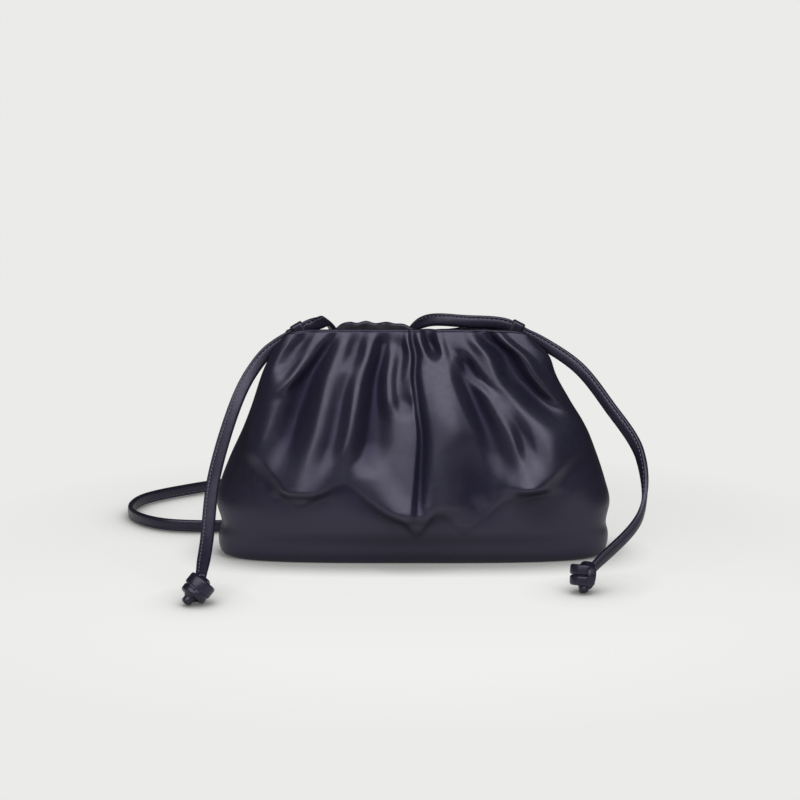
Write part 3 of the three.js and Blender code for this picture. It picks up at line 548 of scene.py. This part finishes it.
class RolledPath:
    """A smooth curve through the route's places, with the roll of a flat section along it."""

    def __init__(self, route, step, shift):
        self.points = np.array([(p.x, p.y, p.z) for p in route], dtype=float) + shift
        self.rolls = np.radians([p.roll for p in route])
        first = 2 * self.points[0] - self.points[1]
        last = 2 * self.points[-1] - self.points[-2]
        self.padded = np.vstack([first, self.points, last])
        lengths = np.linalg.norm(np.diff(self.points, axis=0), axis=1)
        shares = []
        for k, length in enumerate(lengths):
            count = max(1, round(length / step))
            shares.extend(k + np.arange(count) / count)
        shares.append(len(lengths))
        self.shares = np.array(shares, dtype=float)

    def at(self, shares):
        k = np.clip(np.floor(shares).astype(int), 0, len(self.points) - 2)
        w = (shares - k)[:, None]
        p0, p1, p2, p3 = (self.padded[k + j] for j in range(4))
        d0, d1, d2 = (
            np.linalg.norm(b - a, axis=1)[:, None] ** 0.5 for a, b in ((p0, p1), (p1, p2), (p2, p3))
        )
        m1 = ((p1 - p0) / d0 - (p2 - p0) / (d0 + d1) + (p2 - p1) / d1) * d1
        m2 = ((p2 - p1) / d1 - (p3 - p1) / (d1 + d2) + (p3 - p2) / d2) * d1
        return (
            p1 + m1 * w + (-3 * p1 + 3 * p2 - 2 * m1 - m2) * w**2
            + (2 * p1 - 2 * p2 + m1 + m2) * w**3
        )

    def frames(self, shares):
        """Middles, tangents, and broad and thin directions at these shares of the route."""
        small, top = 1e-3, len(self.points) - 1
        tangent = self.at(np.minimum(shares + small, top)) - self.at(np.maximum(shares - small, 0))
        tangent /= np.linalg.norm(tangent, axis=1)[:, None]
        roll = np.interp(shares, np.arange(top + 1), self.rolls)
        level = np.stack([tangent[:, 1], -tangent[:, 0], np.zeros(len(tangent))], axis=1)
        level /= np.linalg.norm(level, axis=1)[:, None]
        cos, sin = np.cos(roll)[:, None], np.sin(roll)[:, None]
        broad = level * cos + np.cross(tangent, level) * sin
        return self.at(shares), tangent, broad, np.cross(tangent, broad)


def strap_section(strap):
    """Half round at the folded edge, pressed flat at the stitched one, with the seam's groove."""
    w, t, seam = strap.width / 2, strap.thickness / 2, strap.seam
    outline = []
    for k in range(7):
        angle = -math.pi / 2 + math.pi * k / 6
        outline.append((w - t + t * math.cos(angle), t * math.sin(angle)))
    upper = [
        (w - 0.35 * strap.width, 1.05 * t), (0, 1.07 * t), (-w + 1.6 * seam, t),
        (-w + 1.3 * seam, 0.94 * t), (-w + 1.1 * seam, 0.84 * t), (-w + seam, 0.79 * t),
        (-w + 0.9 * seam, 0.84 * t), (-w + 0.65 * seam, 0.9 * t), (-w + 0.35 * seam, 0.86 * t),
        (-w + 0.1 * seam, 0.72 * t), (-w, 0.5 * t),
    ]
    outline.extend(upper)
    outline.extend((x, -y) for x, y in reversed(upper))
    return np.array(outline)


def rounded_section(width, thickness, corner, steps=4):
    """A rectangle with rounded corners."""
    outline = []
    for quarter, (sx, sy) in enumerate(((1, 1), (-1, 1), (-1, -1), (1, -1))):
        for k in range(steps + 1):
            angle = math.pi / 2 * (quarter + k / steps)
            outline.append(
                (
                    sx * (width / 2 - corner) + corner * math.cos(angle),
                    sy * (thickness / 2 - corner) + corner * math.sin(angle),
                )
            )
    return np.array(outline)


def node_tree(name):
    material = bpy.data.materials.new(name)
    material.use_nodes = True
    tree = material.node_tree
    tree.nodes.clear()
    output = tree.nodes.new("ShaderNodeOutputMaterial")
    shader = tree.nodes.new("ShaderNodeBsdfPrincipled")
    tree.links.new(shader.outputs["BSDF"], output.inputs["Surface"])
    return material, tree, shader


def add_node(tree, kind, inputs, **settings):
    """A new node; each of these inputs gets a value, or a link from another node's socket."""
    node = tree.nodes.new(kind)
    for name, value in settings.items():
        setattr(node, name, value)
    for name, value in inputs.items():
        if isinstance(value, bpy.types.NodeSocket):
            tree.links.new(value, node.inputs[name])
        else:
            node.inputs[name].default_value = value
    return node


def object_place(tree):
    return tree.nodes.new("ShaderNodeTexCoord").outputs["Object"]


def object_noise(tree, scale, detail):
    """Noise on object coordinates, in features for each metre."""
    inputs = {"Vector": object_place(tree), "Scale": scale, "Detail": detail}
    return add_node(tree, "ShaderNodeTexNoise", inputs).outputs["Fac"]


def pebble_grain(tree, scale):
    """Soft pebbles of leather grain, highest in the middle of each."""
    inputs = {"Vector": object_place(tree), "Scale": scale, "Smoothness": 0.6}
    cells = add_node(tree, "ShaderNodeTexVoronoi", inputs, feature="SMOOTH_F1")
    heights = {0: 1, 1: cells.outputs["Distance"]}
    return add_node(tree, "ShaderNodeMath", heights, operation="SUBTRACT").outputs[0]


def remap(tree, value, from_low, from_high, low, high):
    inputs = {"Value": value, "From Min": from_low, "From Max": from_high}
    inputs.update({"To Min": low, "To Max": high})
    return add_node(tree, "ShaderNodeMapRange", inputs).outputs["Result"]


def mix_colours(tree, value, first, second):
    inputs = {0: value}
    for socket, colour in ((6, first), (7, second)):
        linked = isinstance(colour, bpy.types.NodeSocket)
        inputs[socket] = colour if linked else (*colour, 1)
    return add_node(tree, "ShaderNodeMix", inputs, data_type="RGBA").outputs[2]


def add_bumps(tree, shader, layers):
    """Bumps one on another; each layer is a height and its distance and strength."""
    below = {}
    for height, distance, strength in layers:
        inputs = {"Height": height, "Distance": distance, "Strength": strength, **below}
        below = {"Normal": add_node(tree, "ShaderNodeBump", inputs).outputs["Normal"]}
    tree.links.new(below["Normal"], shader.inputs["Normal"])


def pouch_leather(finishes):
    material, tree, shader = node_tree("grained_pouch_leather")
    # The fold attribute paints the leather lighter on the crests and darker in the valleys: painted
    # light and shade, partly crest wear.
    fold = tree.nodes.new("ShaderNodeAttribute")
    fold.attribute_name = "fold"
    crest = remap(tree, fold.outputs["Fac"], -0.4, 0.9, 0, 1)
    dye = object_noise(tree, 28, 3)
    mottle = object_noise(tree, 420, 4)
    base = mix_colours(tree, crest, finishes.pouch_dark[:], finishes.pouch_lit_crest_and_speck[:])
    cool = [0.82 * channel for channel in finishes.pouch_dark]
    cloud = remap(tree, dye, 0.35, 0.65, 0, 0.45)
    clouded = mix_colours(tree, cloud, base, cool)
    speck = remap(tree, mottle, 0.4, 0.75, 0, 0.3)
    colour = mix_colours(tree, speck, clouded, finishes.pouch_lit_crest_and_speck[:])
    tree.links.new(colour, shader.inputs["Base Color"])
    low, high = finishes.pouch_roughness - 0.04, finishes.pouch_roughness + 0.05
    tree.links.new(remap(tree, mottle, 0.3, 0.7, low, high), shader.inputs["Roughness"])
    shader.inputs["Specular IOR Level"].default_value = 0.6
    # Painted shade: the shine is tinted dark in fold floors and under the apron's edge.
    hollow = tree.nodes.new("ShaderNodeAttribute")
    hollow.attribute_name = "hollow"
    tint_with_painted_shade = mix_colours(tree, hollow.outputs["Fac"], LEATHER_TINT, finishes.pouch_painted_shade[:])
    tree.links.new(tint_with_painted_shade, shader.inputs["Specular Tint"])
    add_bumps(
        tree,
        shader,
        [
            (object_noise(tree, 60, 2), 0.0006, 0.35),
            (pebble_grain(tree, 1500), 0.00006, 0.35),
            (object_noise(tree, 3200, 3), 0.00003, 0.3),
        ],
    )
    return material


def strap_leather(finishes):
    material, tree, shader = node_tree("strap_band_leather")
    mottle = object_noise(tree, 600, 4)
    wear = object_noise(tree, 90, 3)
    base = mix_colours(
        tree, remap(tree, wear, 0.35, 0.65, 0, 1), finishes.strap_dark[:],
        [1.35 * channel for channel in finishes.strap_dark],
    )
    tree.links.new(base, shader.inputs["Base Color"])
    low, high = finishes.strap_roughness - 0.05, finishes.strap_roughness + 0.06
    tree.links.new(remap(tree, mottle, 0.3, 0.7, low, high), shader.inputs["Roughness"])
    shader.inputs["Specular IOR Level"].default_value = 0.5
    shader.inputs["Specular Tint"].default_value = (*LEATHER_TINT, 1)
    add_bumps(
        tree,
        shader,
        [
            (object_noise(tree, 260, 2), 0.00025, 0.3),
            (pebble_grain(tree, 2100), 0.00005, 0.3),
        ],
    )
    return material


def suede_lining(finishes):
    material, tree, shader = node_tree("suede_lining")
    nap = object_noise(tree, 900, 5)
    patches = object_noise(tree, 40, 3)
    base = mix_colours(
        tree, remap(tree, patches, 0.35, 0.65, 0, 1), finishes.lining[:],
        [1.5 * channel for channel in finishes.lining],
    )
    tree.links.new(base, shader.inputs["Base Color"])
    tree.links.new(remap(tree, nap, 0.3, 0.7, 0.82, 0.95), shader.inputs["Roughness"])
    shader.inputs["Sheen Weight"].default_value = 0.25
    shader.inputs["Sheen Roughness"].default_value = 0.5
    add_bumps(tree, shader, [(nap, 0.0001, 0.5)])
    return material


def waxed_thread(finishes):
    material, tree, shader = node_tree("thread")
    twist = object_noise(tree, 2600, 2)
    base = mix_colours(
        tree, twist, finishes.thread[:], [0.6 * channel for channel in finishes.thread]
    )
    tree.links.new(base, shader.inputs["Base Color"])
    tree.links.new(remap(tree, twist, 0.3, 0.7, 0.45, 0.6), shader.inputs["Roughness"])
    add_bumps(tree, shader, [(twist, 0.00008, 0.5)])
    return material


def material_of(name):
    return bpy.data.materials[name]


def turned_to_match(points, name):
    """Moves points in height so that their lowest is the node's lowest, and centres them on it."""
    low, high = (np.array(corner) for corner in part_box(name))
    points = points + ((low + high) / 2 - (points.min(axis=0) + points.max(axis=0)) / 2)
    points[:, 2] += low[2] - points[:, 2].min()
    return points


def route_shift():
    return pouch_shift(bpy.context.scene.handbag_pouch)


def basis_from(axis):
    """Two directions square to an axis, and the axis."""
    axis = np.array(Vector(axis).normalized())
    helper = np.array([0.0, 0.0, 1.0]) if abs(axis[2]) < 0.9 else np.array([1.0, 0.0, 0.0])
    first = np.cross(helper, axis)
    first /= np.linalg.norm(first)
    return first, np.cross(axis, first), axis


def band_loop(axis, radius, offset, width, thickness):
    """A turn of the strap in a knot: a crowned band that closes on itself."""
    u, v, n = basis_from(axis)
    section = rounded_section(width, thickness, 0.42 * thickness, 5)
    points = []
    for angle in ring_angles(LOOP_RINGS):
        out = u * math.cos(angle) + v * math.sin(angle)
        points.append(radius * out + (offset + section[:, :1]) * n - section[:, 1:] * out)
    count = len(section)
    faces = []
    for ring in range(LOOP_RINGS):
        low, high = ring * count, ((ring + 1) % LOOP_RINGS) * count
        for k in range(count):
            following = (k + 1) % count
            faces.append([low + k, low + following, high + following, high + k])
    return np.concatenate(points), faces


def cut_end(direction, length, width, thickness, roll=0.0):
    """The end of the strap that leaves the knot, cut square with softened edges."""
    u, v, n = basis_from(direction)
    turn = math.radians(roll)
    first = u * math.cos(turn) + v * math.sin(turn)
    second = np.cross(n, first)
    section = rounded_section(width, thickness, 0.45 * thickness, 6)
    rings = []
    for share, grow in END_RINGS:
        flat = section * grow
        rings.append(n * length * share + flat[:, :1] * first + flat[:, 1:] * second)
    points = np.concatenate(rings + [np.zeros((1, 3)), (n * length * 0.86)[None, :]])
    return points, capped_faces(len(rings), len(section))


def joined(parts):
    points, faces, base = [], [], 0
    for part_points, part_faces in parts:
        points.append(part_points)
        faces.extend([index + base for index in face] for face in part_faces)
        base += len(part_points)
    return np.concatenate(points), faces


def face_outwards(obj):
    """Turns every loose shell of the mesh outwards."""
    mesh = bmesh.new()
    mesh.from_mesh(obj.data)
    bmesh.ops.recalc_face_normals(mesh, faces=mesh.faces)
    mesh.to_mesh(obj.data)
    mesh.free()


def stitch_tree():
    """Geometry nodes that put one stitch on each point of a seam."""
    tree = bpy.data.node_groups.new("seam_stitches", "GeometryNodeTree")
    interface = tree.interface
    interface.new_socket("Geometry", in_out="INPUT", socket_type="NodeSocketGeometry")
    interface.new_socket("Stitch Length", in_out="INPUT", socket_type="NodeSocketFloat")
    interface.new_socket("Thread", in_out="INPUT", socket_type="NodeSocketFloat")
    interface.new_socket("Material", in_out="INPUT", socket_type="NodeSocketMaterial")
    interface.new_socket("Geometry", in_out="OUTPUT", socket_type="NodeSocketGeometry")
    start = tree.nodes.new("NodeGroupInput").outputs
    ball = add_node(tree, "GeometryNodeMeshIcoSphere", {"Radius": 0.5, "Subdivisions": 2})
    sizes = {"X": start["Stitch Length"], "Y": start["Thread"], "Z": start["Thread"]}
    scale = add_node(tree, "ShaderNodeCombineXYZ", sizes)
    stretched = add_node(
        tree, "GeometryNodeTransform",
        {"Geometry": ball.outputs["Mesh"], "Scale": scale.outputs["Vector"]},
    )
    along = add_node(
        tree, "GeometryNodeInputNamedAttribute", {"Name": "along"}, data_type="FLOAT_VECTOR"
    )
    turn = add_node(
        tree, "FunctionNodeAlignRotationToVector", {"Vector": along.outputs["Attribute"]}, axis="X"
    )
    copies = add_node(
        tree, "GeometryNodeInstanceOnPoints",
        {
            "Points": start["Geometry"], "Instance": stretched.outputs["Geometry"],
            "Rotation": turn.outputs["Rotation"],
        },
    )
    stitches = copies.outputs["Instances"]
    for kind in ("GeometryNodeRealizeInstances", "GeometryNodeSetShadeSmooth"):
        stitches = add_node(tree, kind, {"Geometry": stitches}).outputs["Geometry"]
    finish = {"Geometry": stitches, "Material": start["Material"]}
    finished = add_node(tree, "GeometryNodeSetMaterial", finish)
    add_node(tree, "NodeGroupOutput", {"Geometry": finished.outputs["Geometry"]})
    return tree


def sewn(name, places, directions, strap):
    """A row of stitches at places, each along its direction."""
    mesh = bpy.data.meshes.new(name + "_points")
    mesh.from_pydata(places.tolist(), [], [])
    along = mesh.attributes.new("along", "FLOAT_VECTOR", "POINT")
    along.data.foreach_set("vector", directions.astype(np.float32).ravel())
    seam = bpy.data.objects.new(name + "_points", mesh)
    bpy.context.scene.collection.objects.link(seam)
    tree = bpy.data.node_groups.get("seam_stitches") or stitch_tree()
    modifier = seam.modifiers.new("stitches", "NODES")
    modifier.node_group = tree
    values = {
        "Stitch Length": strap.stitch_length,
        "Thread": strap.thread,
        "Material": material_of("thread"),
    }
    for item in tree.interface.items_tree:
        if item.in_out == "INPUT" and item.name in values:
            modifier[item.identifier] = values[item.name]
    bpy.context.view_layer.update()
    depsgraph = bpy.context.evaluated_depsgraph_get()
    made = bpy.data.meshes.new_from_object(seam.evaluated_get(depsgraph), depsgraph=depsgraph)
    made.name = name
    row = bpy.data.objects.new(name, made)
    bpy.context.scene.collection.objects.link(row)
    bpy.data.objects.remove(seam)
    return row


class HANDBAG_OT_camera(bpy.types.Operator):
    """Place the camera in front of the handbag, a little above it"""

    bl_idname = "handbag.camera"
    bl_label = "Camera"

    def execute(self, context):
        camera = bpy.data.cameras.new("camera")
        camera.lens = 85
        camera.sensor_width = 36
        camera.sensor_fit = "HORIZONTAL"
        obj = bpy.data.objects.new("camera", camera)
        context.scene.collection.objects.link(obj)
        obj.location = CAMERA_PLACE
        obj.rotation_euler = (math.radians(CAMERA_TILT), 0, 0)
        context.scene.camera = obj
        context.scene.view_settings.view_transform = "Standard"
        context.scene.view_settings.look = "None"
        return {"FINISHED"}


class HANDBAG_OT_materials(bpy.types.Operator):
    """Make the leathers, the lining and the thread"""

    bl_idname = "handbag.materials"
    bl_label = "Materials"

    def execute(self, context):
        finishes = context.scene.handbag_finishes
        for make in (pouch_leather, strap_leather, suede_lining, waxed_thread):
            make(finishes)
        return {"FINISHED"}


class HANDBAG_OT_strap(bpy.types.Operator):
    """Lay the strap from knot to knot, with its seam"""

    bl_idname = "handbag.strap"
    bl_label = "Strap"

    def execute(self, context):
        strap = context.scene.handbag_strap
        path = RolledPath(STRAP_ROUTE, strap.station, route_shift())
        middle, tangent, broad, thin = path.frames(path.shares)
        tuck = strap.knot_tuck
        middle = np.vstack([middle[0] - tuck * tangent[0], middle, middle[-1] + tuck * tangent[-1]])
        broad, thin = (np.vstack([side[:1], side, side[-1:]]) for side in (broad, thin))
        section = strap_section(strap)
        lengths = np.linalg.norm(np.diff(middle, axis=0), axis=1)
        travelled = np.concatenate([[0], np.cumsum(lengths)])
        total = float(travelled[-1])
        from_end = np.minimum(travelled, total - travelled)
        narrow = 1 - strap.squeeze * (1 - smoothstep(0, strap.knot_size, from_end))
        rings = [
            m + section[:, :1] * b * n + section[:, 1:] * t
            for m, b, t, n in zip(middle, broad, thin, narrow)
        ]
        points = np.concatenate(rings + [middle[:1], middle[-1:]])
        faces = capped_faces(len(rings), len(section))
        obj = mesh_object("strap_leather", points, faces, [material_of("strap_band_leather")])
        face_outwards(obj)
        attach(obj, "root")
        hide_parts("strap")

        at = np.arange(tuck + strap.stitch_pitch, total - tuck, strap.stitch_pitch)
        shares = np.interp(at, travelled[1:-1], path.shares)
        seam_middle, along, across, out = path.frames(shares)
        edge = strap.seam - strap.width / 2 * np.interp(at, travelled, narrow)[:, None]
        height = 0.79 * strap.thickness / 2 + 0.15 * strap.thread
        row = sewn("strap_stitches", seam_middle + across * edge - out * height, along, strap)
        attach(row, "root")
        return {"FINISHED"}


class HANDBAG_OT_knots(bpy.types.Operator):
    """Tie the knots at the strap's two ends"""

    bl_idname = "handbag.knots"
    bl_label = "Knots"

    def execute(self, context):
        strap = context.scene.handbag_strap
        for name, knot in KNOTS.items():
            radius = (strap.knot_size - strap.knot_thickness) / 2
            core = bmesh.new()
            bmesh.ops.create_icosphere(core, subdivisions=3, radius=0.9 * radius)
            core_points = np.array([vertex.co[:] for vertex in core.verts])
            core_faces = [[vertex.index for vertex in face.verts] for face in core.faces]
            core.free()
            band, thick = strap.knot_band, strap.knot_thickness
            parts = [(core_points, core_faces)]
            for turn in knot.turns:
                offset, width = turn.offset * band, turn.width * band
                parts.append(band_loop(turn.axis, turn.radius * radius, offset, width, thick))
            parts.append(
                cut_end(
                    knot.end, knot.stub * strap.knot_size, strap.end_width, strap.end_thickness,
                    knot.roll,
                )
            )
            points, faces = joined(parts)
            node = "knot_" + name
            points = turned_to_match(points, node)
            obj = mesh_object(node + "_leather", points, faces, [material_of("strap_band_leather")])
            face_outwards(obj)
            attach(obj, "root")
            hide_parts(node)
        return {"FINISHED"}


class HANDBAG_OT_keepers(bpy.types.Operator):
    """Wrap the two keepers round the strap at the mouth's ends"""

    bl_idname = "handbag.keepers"
    bl_label = "Keepers"

    def execute(self, context):
        strap = context.scene.handbag_strap
        shift = route_shift()
        for name, start in KEEPER_STARTS.items():
            low, high = (
                np.array([p.x, p.y, p.z]) + shift for p in STRAP_ROUTE[start:start + 2]
            )
            along = (high - low) / np.linalg.norm(high - low)
            roll = math.radians(STRAP_ROUTE[start].roll)
            level = np.array([along[1], -along[0], 0])
            level /= np.linalg.norm(level)
            broad = level * math.cos(roll) + np.cross(along, level) * math.sin(roll)
            thin = np.cross(along, broad)
            room, leather = strap.keeper_room, strap.keeper_thickness
            hole = rounded_section(
                strap.width + 2 * room, strap.thickness + 2 * room, 0.3 * strap.thickness, 5
            )
            outside = rounded_section(
                strap.width + 2 * room + 2 * leather, strap.thickness + 2 * room + 2 * leather,
                leather + 0.3 * strap.thickness, 5,
            )
            half, edge = strap.keeper_length / 2, 0.3 * leather
            rings = []
            for outline, place, grow in (
                (outside, -half, -0.28), (outside, -half + edge, 0.0), (outside, -0.5 * half, 0.03),
                (outside, 0.5 * half, 0.03), (outside, half - edge, 0.0), (outside, half, -0.28),
                (hole, half, 0.28), (hole, half - edge, 0.0), (hole, 0, 0.0),
                (hole, -half + edge, 0.0), (hole, -half, 0.28),
            ):
                size = np.abs(outline).max(axis=0)
                flat = outline * (1 + grow * leather / size)
                rings.append(
                    (low + high) / 2 + along * place + flat[:, :1] * broad + flat[:, 1:] * thin
                )
            count = len(hole)
            faces = ring_faces(len(rings), count)
            for k in range(count):
                following = (k + 1) % count
                last = (len(rings) - 1) * count
                faces.append([last + k, last + following, following, k])
            node = "keeper_" + name
            obj = mesh_object(
                node + "_leather", np.concatenate(rings), faces, [material_of("strap_band_leather")]
            )
            face_outwards(obj)
            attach(obj, "root")
            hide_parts(node)
        return {"FINISHED"}


class HANDBAG_OT_pouch(bpy.types.Operator):
    """Gather the pouch of leather, with its hem, lining and base"""

    bl_idname = "handbag.pouch"
    bl_label = "Pouch"

    def execute(self, context):
        pouch = context.scene.handbag_pouch
        rings, offsets, deep, materials = [], [], [], []

        def add(share, inset, fold_share, drop, material):
            ring, offset = pouch_ring(pouch, share, inset, fold_share, drop)
            rings.append(ring)
            offsets.append(offset)
            deep.append(hollows(offset, share, pouch))
            materials.append(material)

        for share in FOOT_RINGS:
            add(share, 0, 0, 0, 0)
        for row in range(1, pouch.outer_rows + 1):
            share = FOOT_SHARE + (1 - FOOT_SHARE) * row / pouch.outer_rows
            drop = pouch.hem / 2 if row == pouch.outer_rows else 0
            add(share, 0, float(smoothstep(FOOT_SHARE, FOLD_SHARE, share)), drop, 0)
        for turn in range(1, 8):
            angle = math.pi * turn / 8
            inset = pouch.hem / 2 * (1 - math.cos(angle))
            add(1, inset, 1, pouch.hem / 2 * (1 - math.sin(angle)), 0)
        for row in range(pouch.inner_rows + 1):
            share = 1 + (pouch.base / pouch.height - 1) * row / pouch.inner_rows
            inset = pouch.wall + (pouch.hem - pouch.wall) * float(smoothstep(HEM_START, 1, share))
            add(share, inset, 1, pouch.hem / 2 if row == 0 else 0, 1)
        count = len(rings[0])
        middles = np.array([[0, 0, 0], [0, 0, pouch.base]])
        points = np.concatenate(rings + [middles]) + pouch_shift(pouch)
        faces = capped_faces(len(rings), count)
        obj = mesh_object(
            "pouch_leather", points, faces,
            [material_of("grained_pouch_leather"), material_of("suede_lining")],
        )
        quads = (len(rings) - 1) * count
        index = np.zeros(len(faces), dtype=np.int32)
        index[:quads] = np.repeat(np.array(materials[1:]), count)
        index[quads + 1::2] = 1
        obj.data.polygons.foreach_set("material_index", index)
        # The hollow attribute carries the painted shade for the leather's shine.
        for name, values in (("fold", offsets), ("hollow", deep)):
            attribute = obj.data.attributes.new(name, "FLOAT", "POINT")
            values = np.concatenate(values + [np.zeros(2)])
            attribute.data.foreach_set("value", values.astype(np.float32))
        face_outwards(obj)
        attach(obj, "root")
        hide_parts("pouch")
        return {"FINISHED"}


def studio_material(finishes):
    """Pale paint that shows its plain colour, with a soft shadow where the object stands."""
    material = bpy.data.materials.new("studio")
    material.use_nodes = True
    tree = material.node_tree
    tree.nodes.clear()
    pale = (*finishes.studio, 1)
    coat = (*[FLOOR_PAINT * channel for channel in finishes.studio], 1)
    paint = add_node(tree, "ShaderNodeBsdfDiffuse", {"Color": coat})
    contact = add_node(
        tree, "ShaderNodeAmbientOcclusion", {"Distance": finishes.contact_shadow}, samples=8
    )
    open_sky = remap(tree, contact.outputs["AO"], 0.5, 0.97, SHADED_GLOW, OPEN_GLOW)
    glow = add_node(tree, "ShaderNodeEmission", {"Color": pale, "Strength": open_sky})
    both = add_node(tree, "ShaderNodeAddShader", {0: paint.outputs[0], 1: glow.outputs[0]})
    plain = add_node(tree, "ShaderNodeEmission", {"Color": pale, "Strength": 1})
    place = object_place(tree)
    distance = add_node(tree, "ShaderNodeVectorMath", {0: place}, operation="LENGTH")
    far = remap(tree, distance.outputs["Value"], TABLE_FADE, TABLE - 0.01, 0, 1)
    shaders = {0: far, 1: both.outputs[0], 2: plain.outputs[0]}
    blend = add_node(tree, "ShaderNodeMixShader", shaders)
    add_node(tree, "ShaderNodeOutputMaterial", {"Surface": blend.outputs[0]})
    return material


class HANDBAG_OT_stage(bpy.types.Operator):
    """Set the floor, the backdrop and the studio lights"""

    bl_idname = "handbag.stage"
    bl_label = "Stage"

    def execute(self, context):
        finishes = context.scene.handbag_finishes
        floor_material = studio_material(finishes)
        angles = ring_angles(BACKDROP_SIDES)
        near = [(TABLE * math.cos(a), TABLE * math.sin(a), 0.0) for a in angles]
        floor = mesh_object("floor", near, [list(range(BACKDROP_SIDES))], [floor_material])

        profile = [(TABLE, 0.0), (BACKDROP_FLOOR, 0.0)]
        for k in range(1, BEND_STEPS + 1):
            angle = math.pi / 2 * k / BEND_STEPS
            out = BACKDROP_FLOOR + BACKDROP_BEND * math.sin(angle)
            profile.append((out, BACKDROP_BEND * (1 - math.cos(angle))))
        profile.append((BACKDROP_FLOOR + BACKDROP_BEND, BACKDROP_TOP))
        points = [(out * math.cos(a), out * math.sin(a), z) for out, z in profile for a in angles]
        faces = ring_faces(len(profile), BACKDROP_SIDES)
        backdrop = mesh_object("backdrop", points, faces, [floor_material])
        backdrop.visible_diffuse = False
        backdrop.visible_glossy = False
        backdrop.visible_shadow = False

        world = bpy.data.worlds.new("studio_room")
        context.scene.world = world
        world.use_nodes = True
        world.node_tree.nodes["Background"].inputs["Color"].default_value = (1, 1, 1, 1)
        world.node_tree.nodes["Background"].inputs["Strength"].default_value = ROOM_GLOW
        light = bpy.data.lights.new("front_softbox", "AREA")
        light.shape = "RECTANGLE"
        light.size, light.size_y = SOFTBOX_SIZE
        light.energy = SOFTBOX_RADIANCE * math.pi * light.size * light.size_y
        obj = bpy.data.objects.new("front_softbox", light)
        context.scene.collection.objects.link(obj)
        obj.location = SOFTBOX_PLACE
        look = Vector(SOFTBOX_AIM) - Vector(SOFTBOX_PLACE)
        obj.rotation_euler = look.to_track_quat("-Z", "Y").to_euler()
        return {"FINISHED"}


class HANDBAG_PT_panel(bpy.types.Panel):
    """Sizes, finishes and pieces of the handbag"""

    bl_idname = "HANDBAG_PT_panel"
    bl_label = "Gathered pouch handbag"
    bl_space_type = "VIEW_3D"
    bl_region_type = "UI"
    bl_category = "Handbag"

    def draw(self, context):
        layout = self.layout
        for operator in OPERATORS:
            layout.operator(operator.bl_idname)
        for group in ("handbag_pouch", "handbag_strap", "handbag_finishes"):
            settings = getattr(context.scene, group)
            box = layout.box()
            for key in type(settings).__annotations__:
                box.prop(settings, key)


SETTINGS = {
    "handbag_pouch": PouchSizes,
    "handbag_strap": StrapSizes,
    "handbag_finishes": Finishes,
}
OPERATORS = (
    HANDBAG_OT_camera,
    HANDBAG_OT_materials,
    HANDBAG_OT_knots,
    HANDBAG_OT_strap,
    HANDBAG_OT_keepers,
    HANDBAG_OT_pouch,
    HANDBAG_OT_stage,
)


def register():
    for cls in (*SETTINGS.values(), *OPERATORS, HANDBAG_PT_panel):
        bpy.utils.register_class(cls)
    for name, cls in SETTINGS.items():
        setattr(bpy.types.Scene, name, bpy.props.PointerProperty(type=cls))


def unregister():
    for name in SETTINGS:
        delattr(bpy.types.Scene, name)
    for cls in reversed((*SETTINGS.values(), *OPERATORS, HANDBAG_PT_panel)):
        bpy.utils.unregister_class(cls)


def main():
    register()
    bpy.ops.handbag.camera()
    bpy.ops.handbag.materials()
    bpy.ops.handbag.knots()
    bpy.ops.handbag.strap()
    bpy.ops.handbag.keepers()
    bpy.ops.handbag.pouch()
    bpy.ops.handbag.stage()


if __name__ == "__main__":
    main()
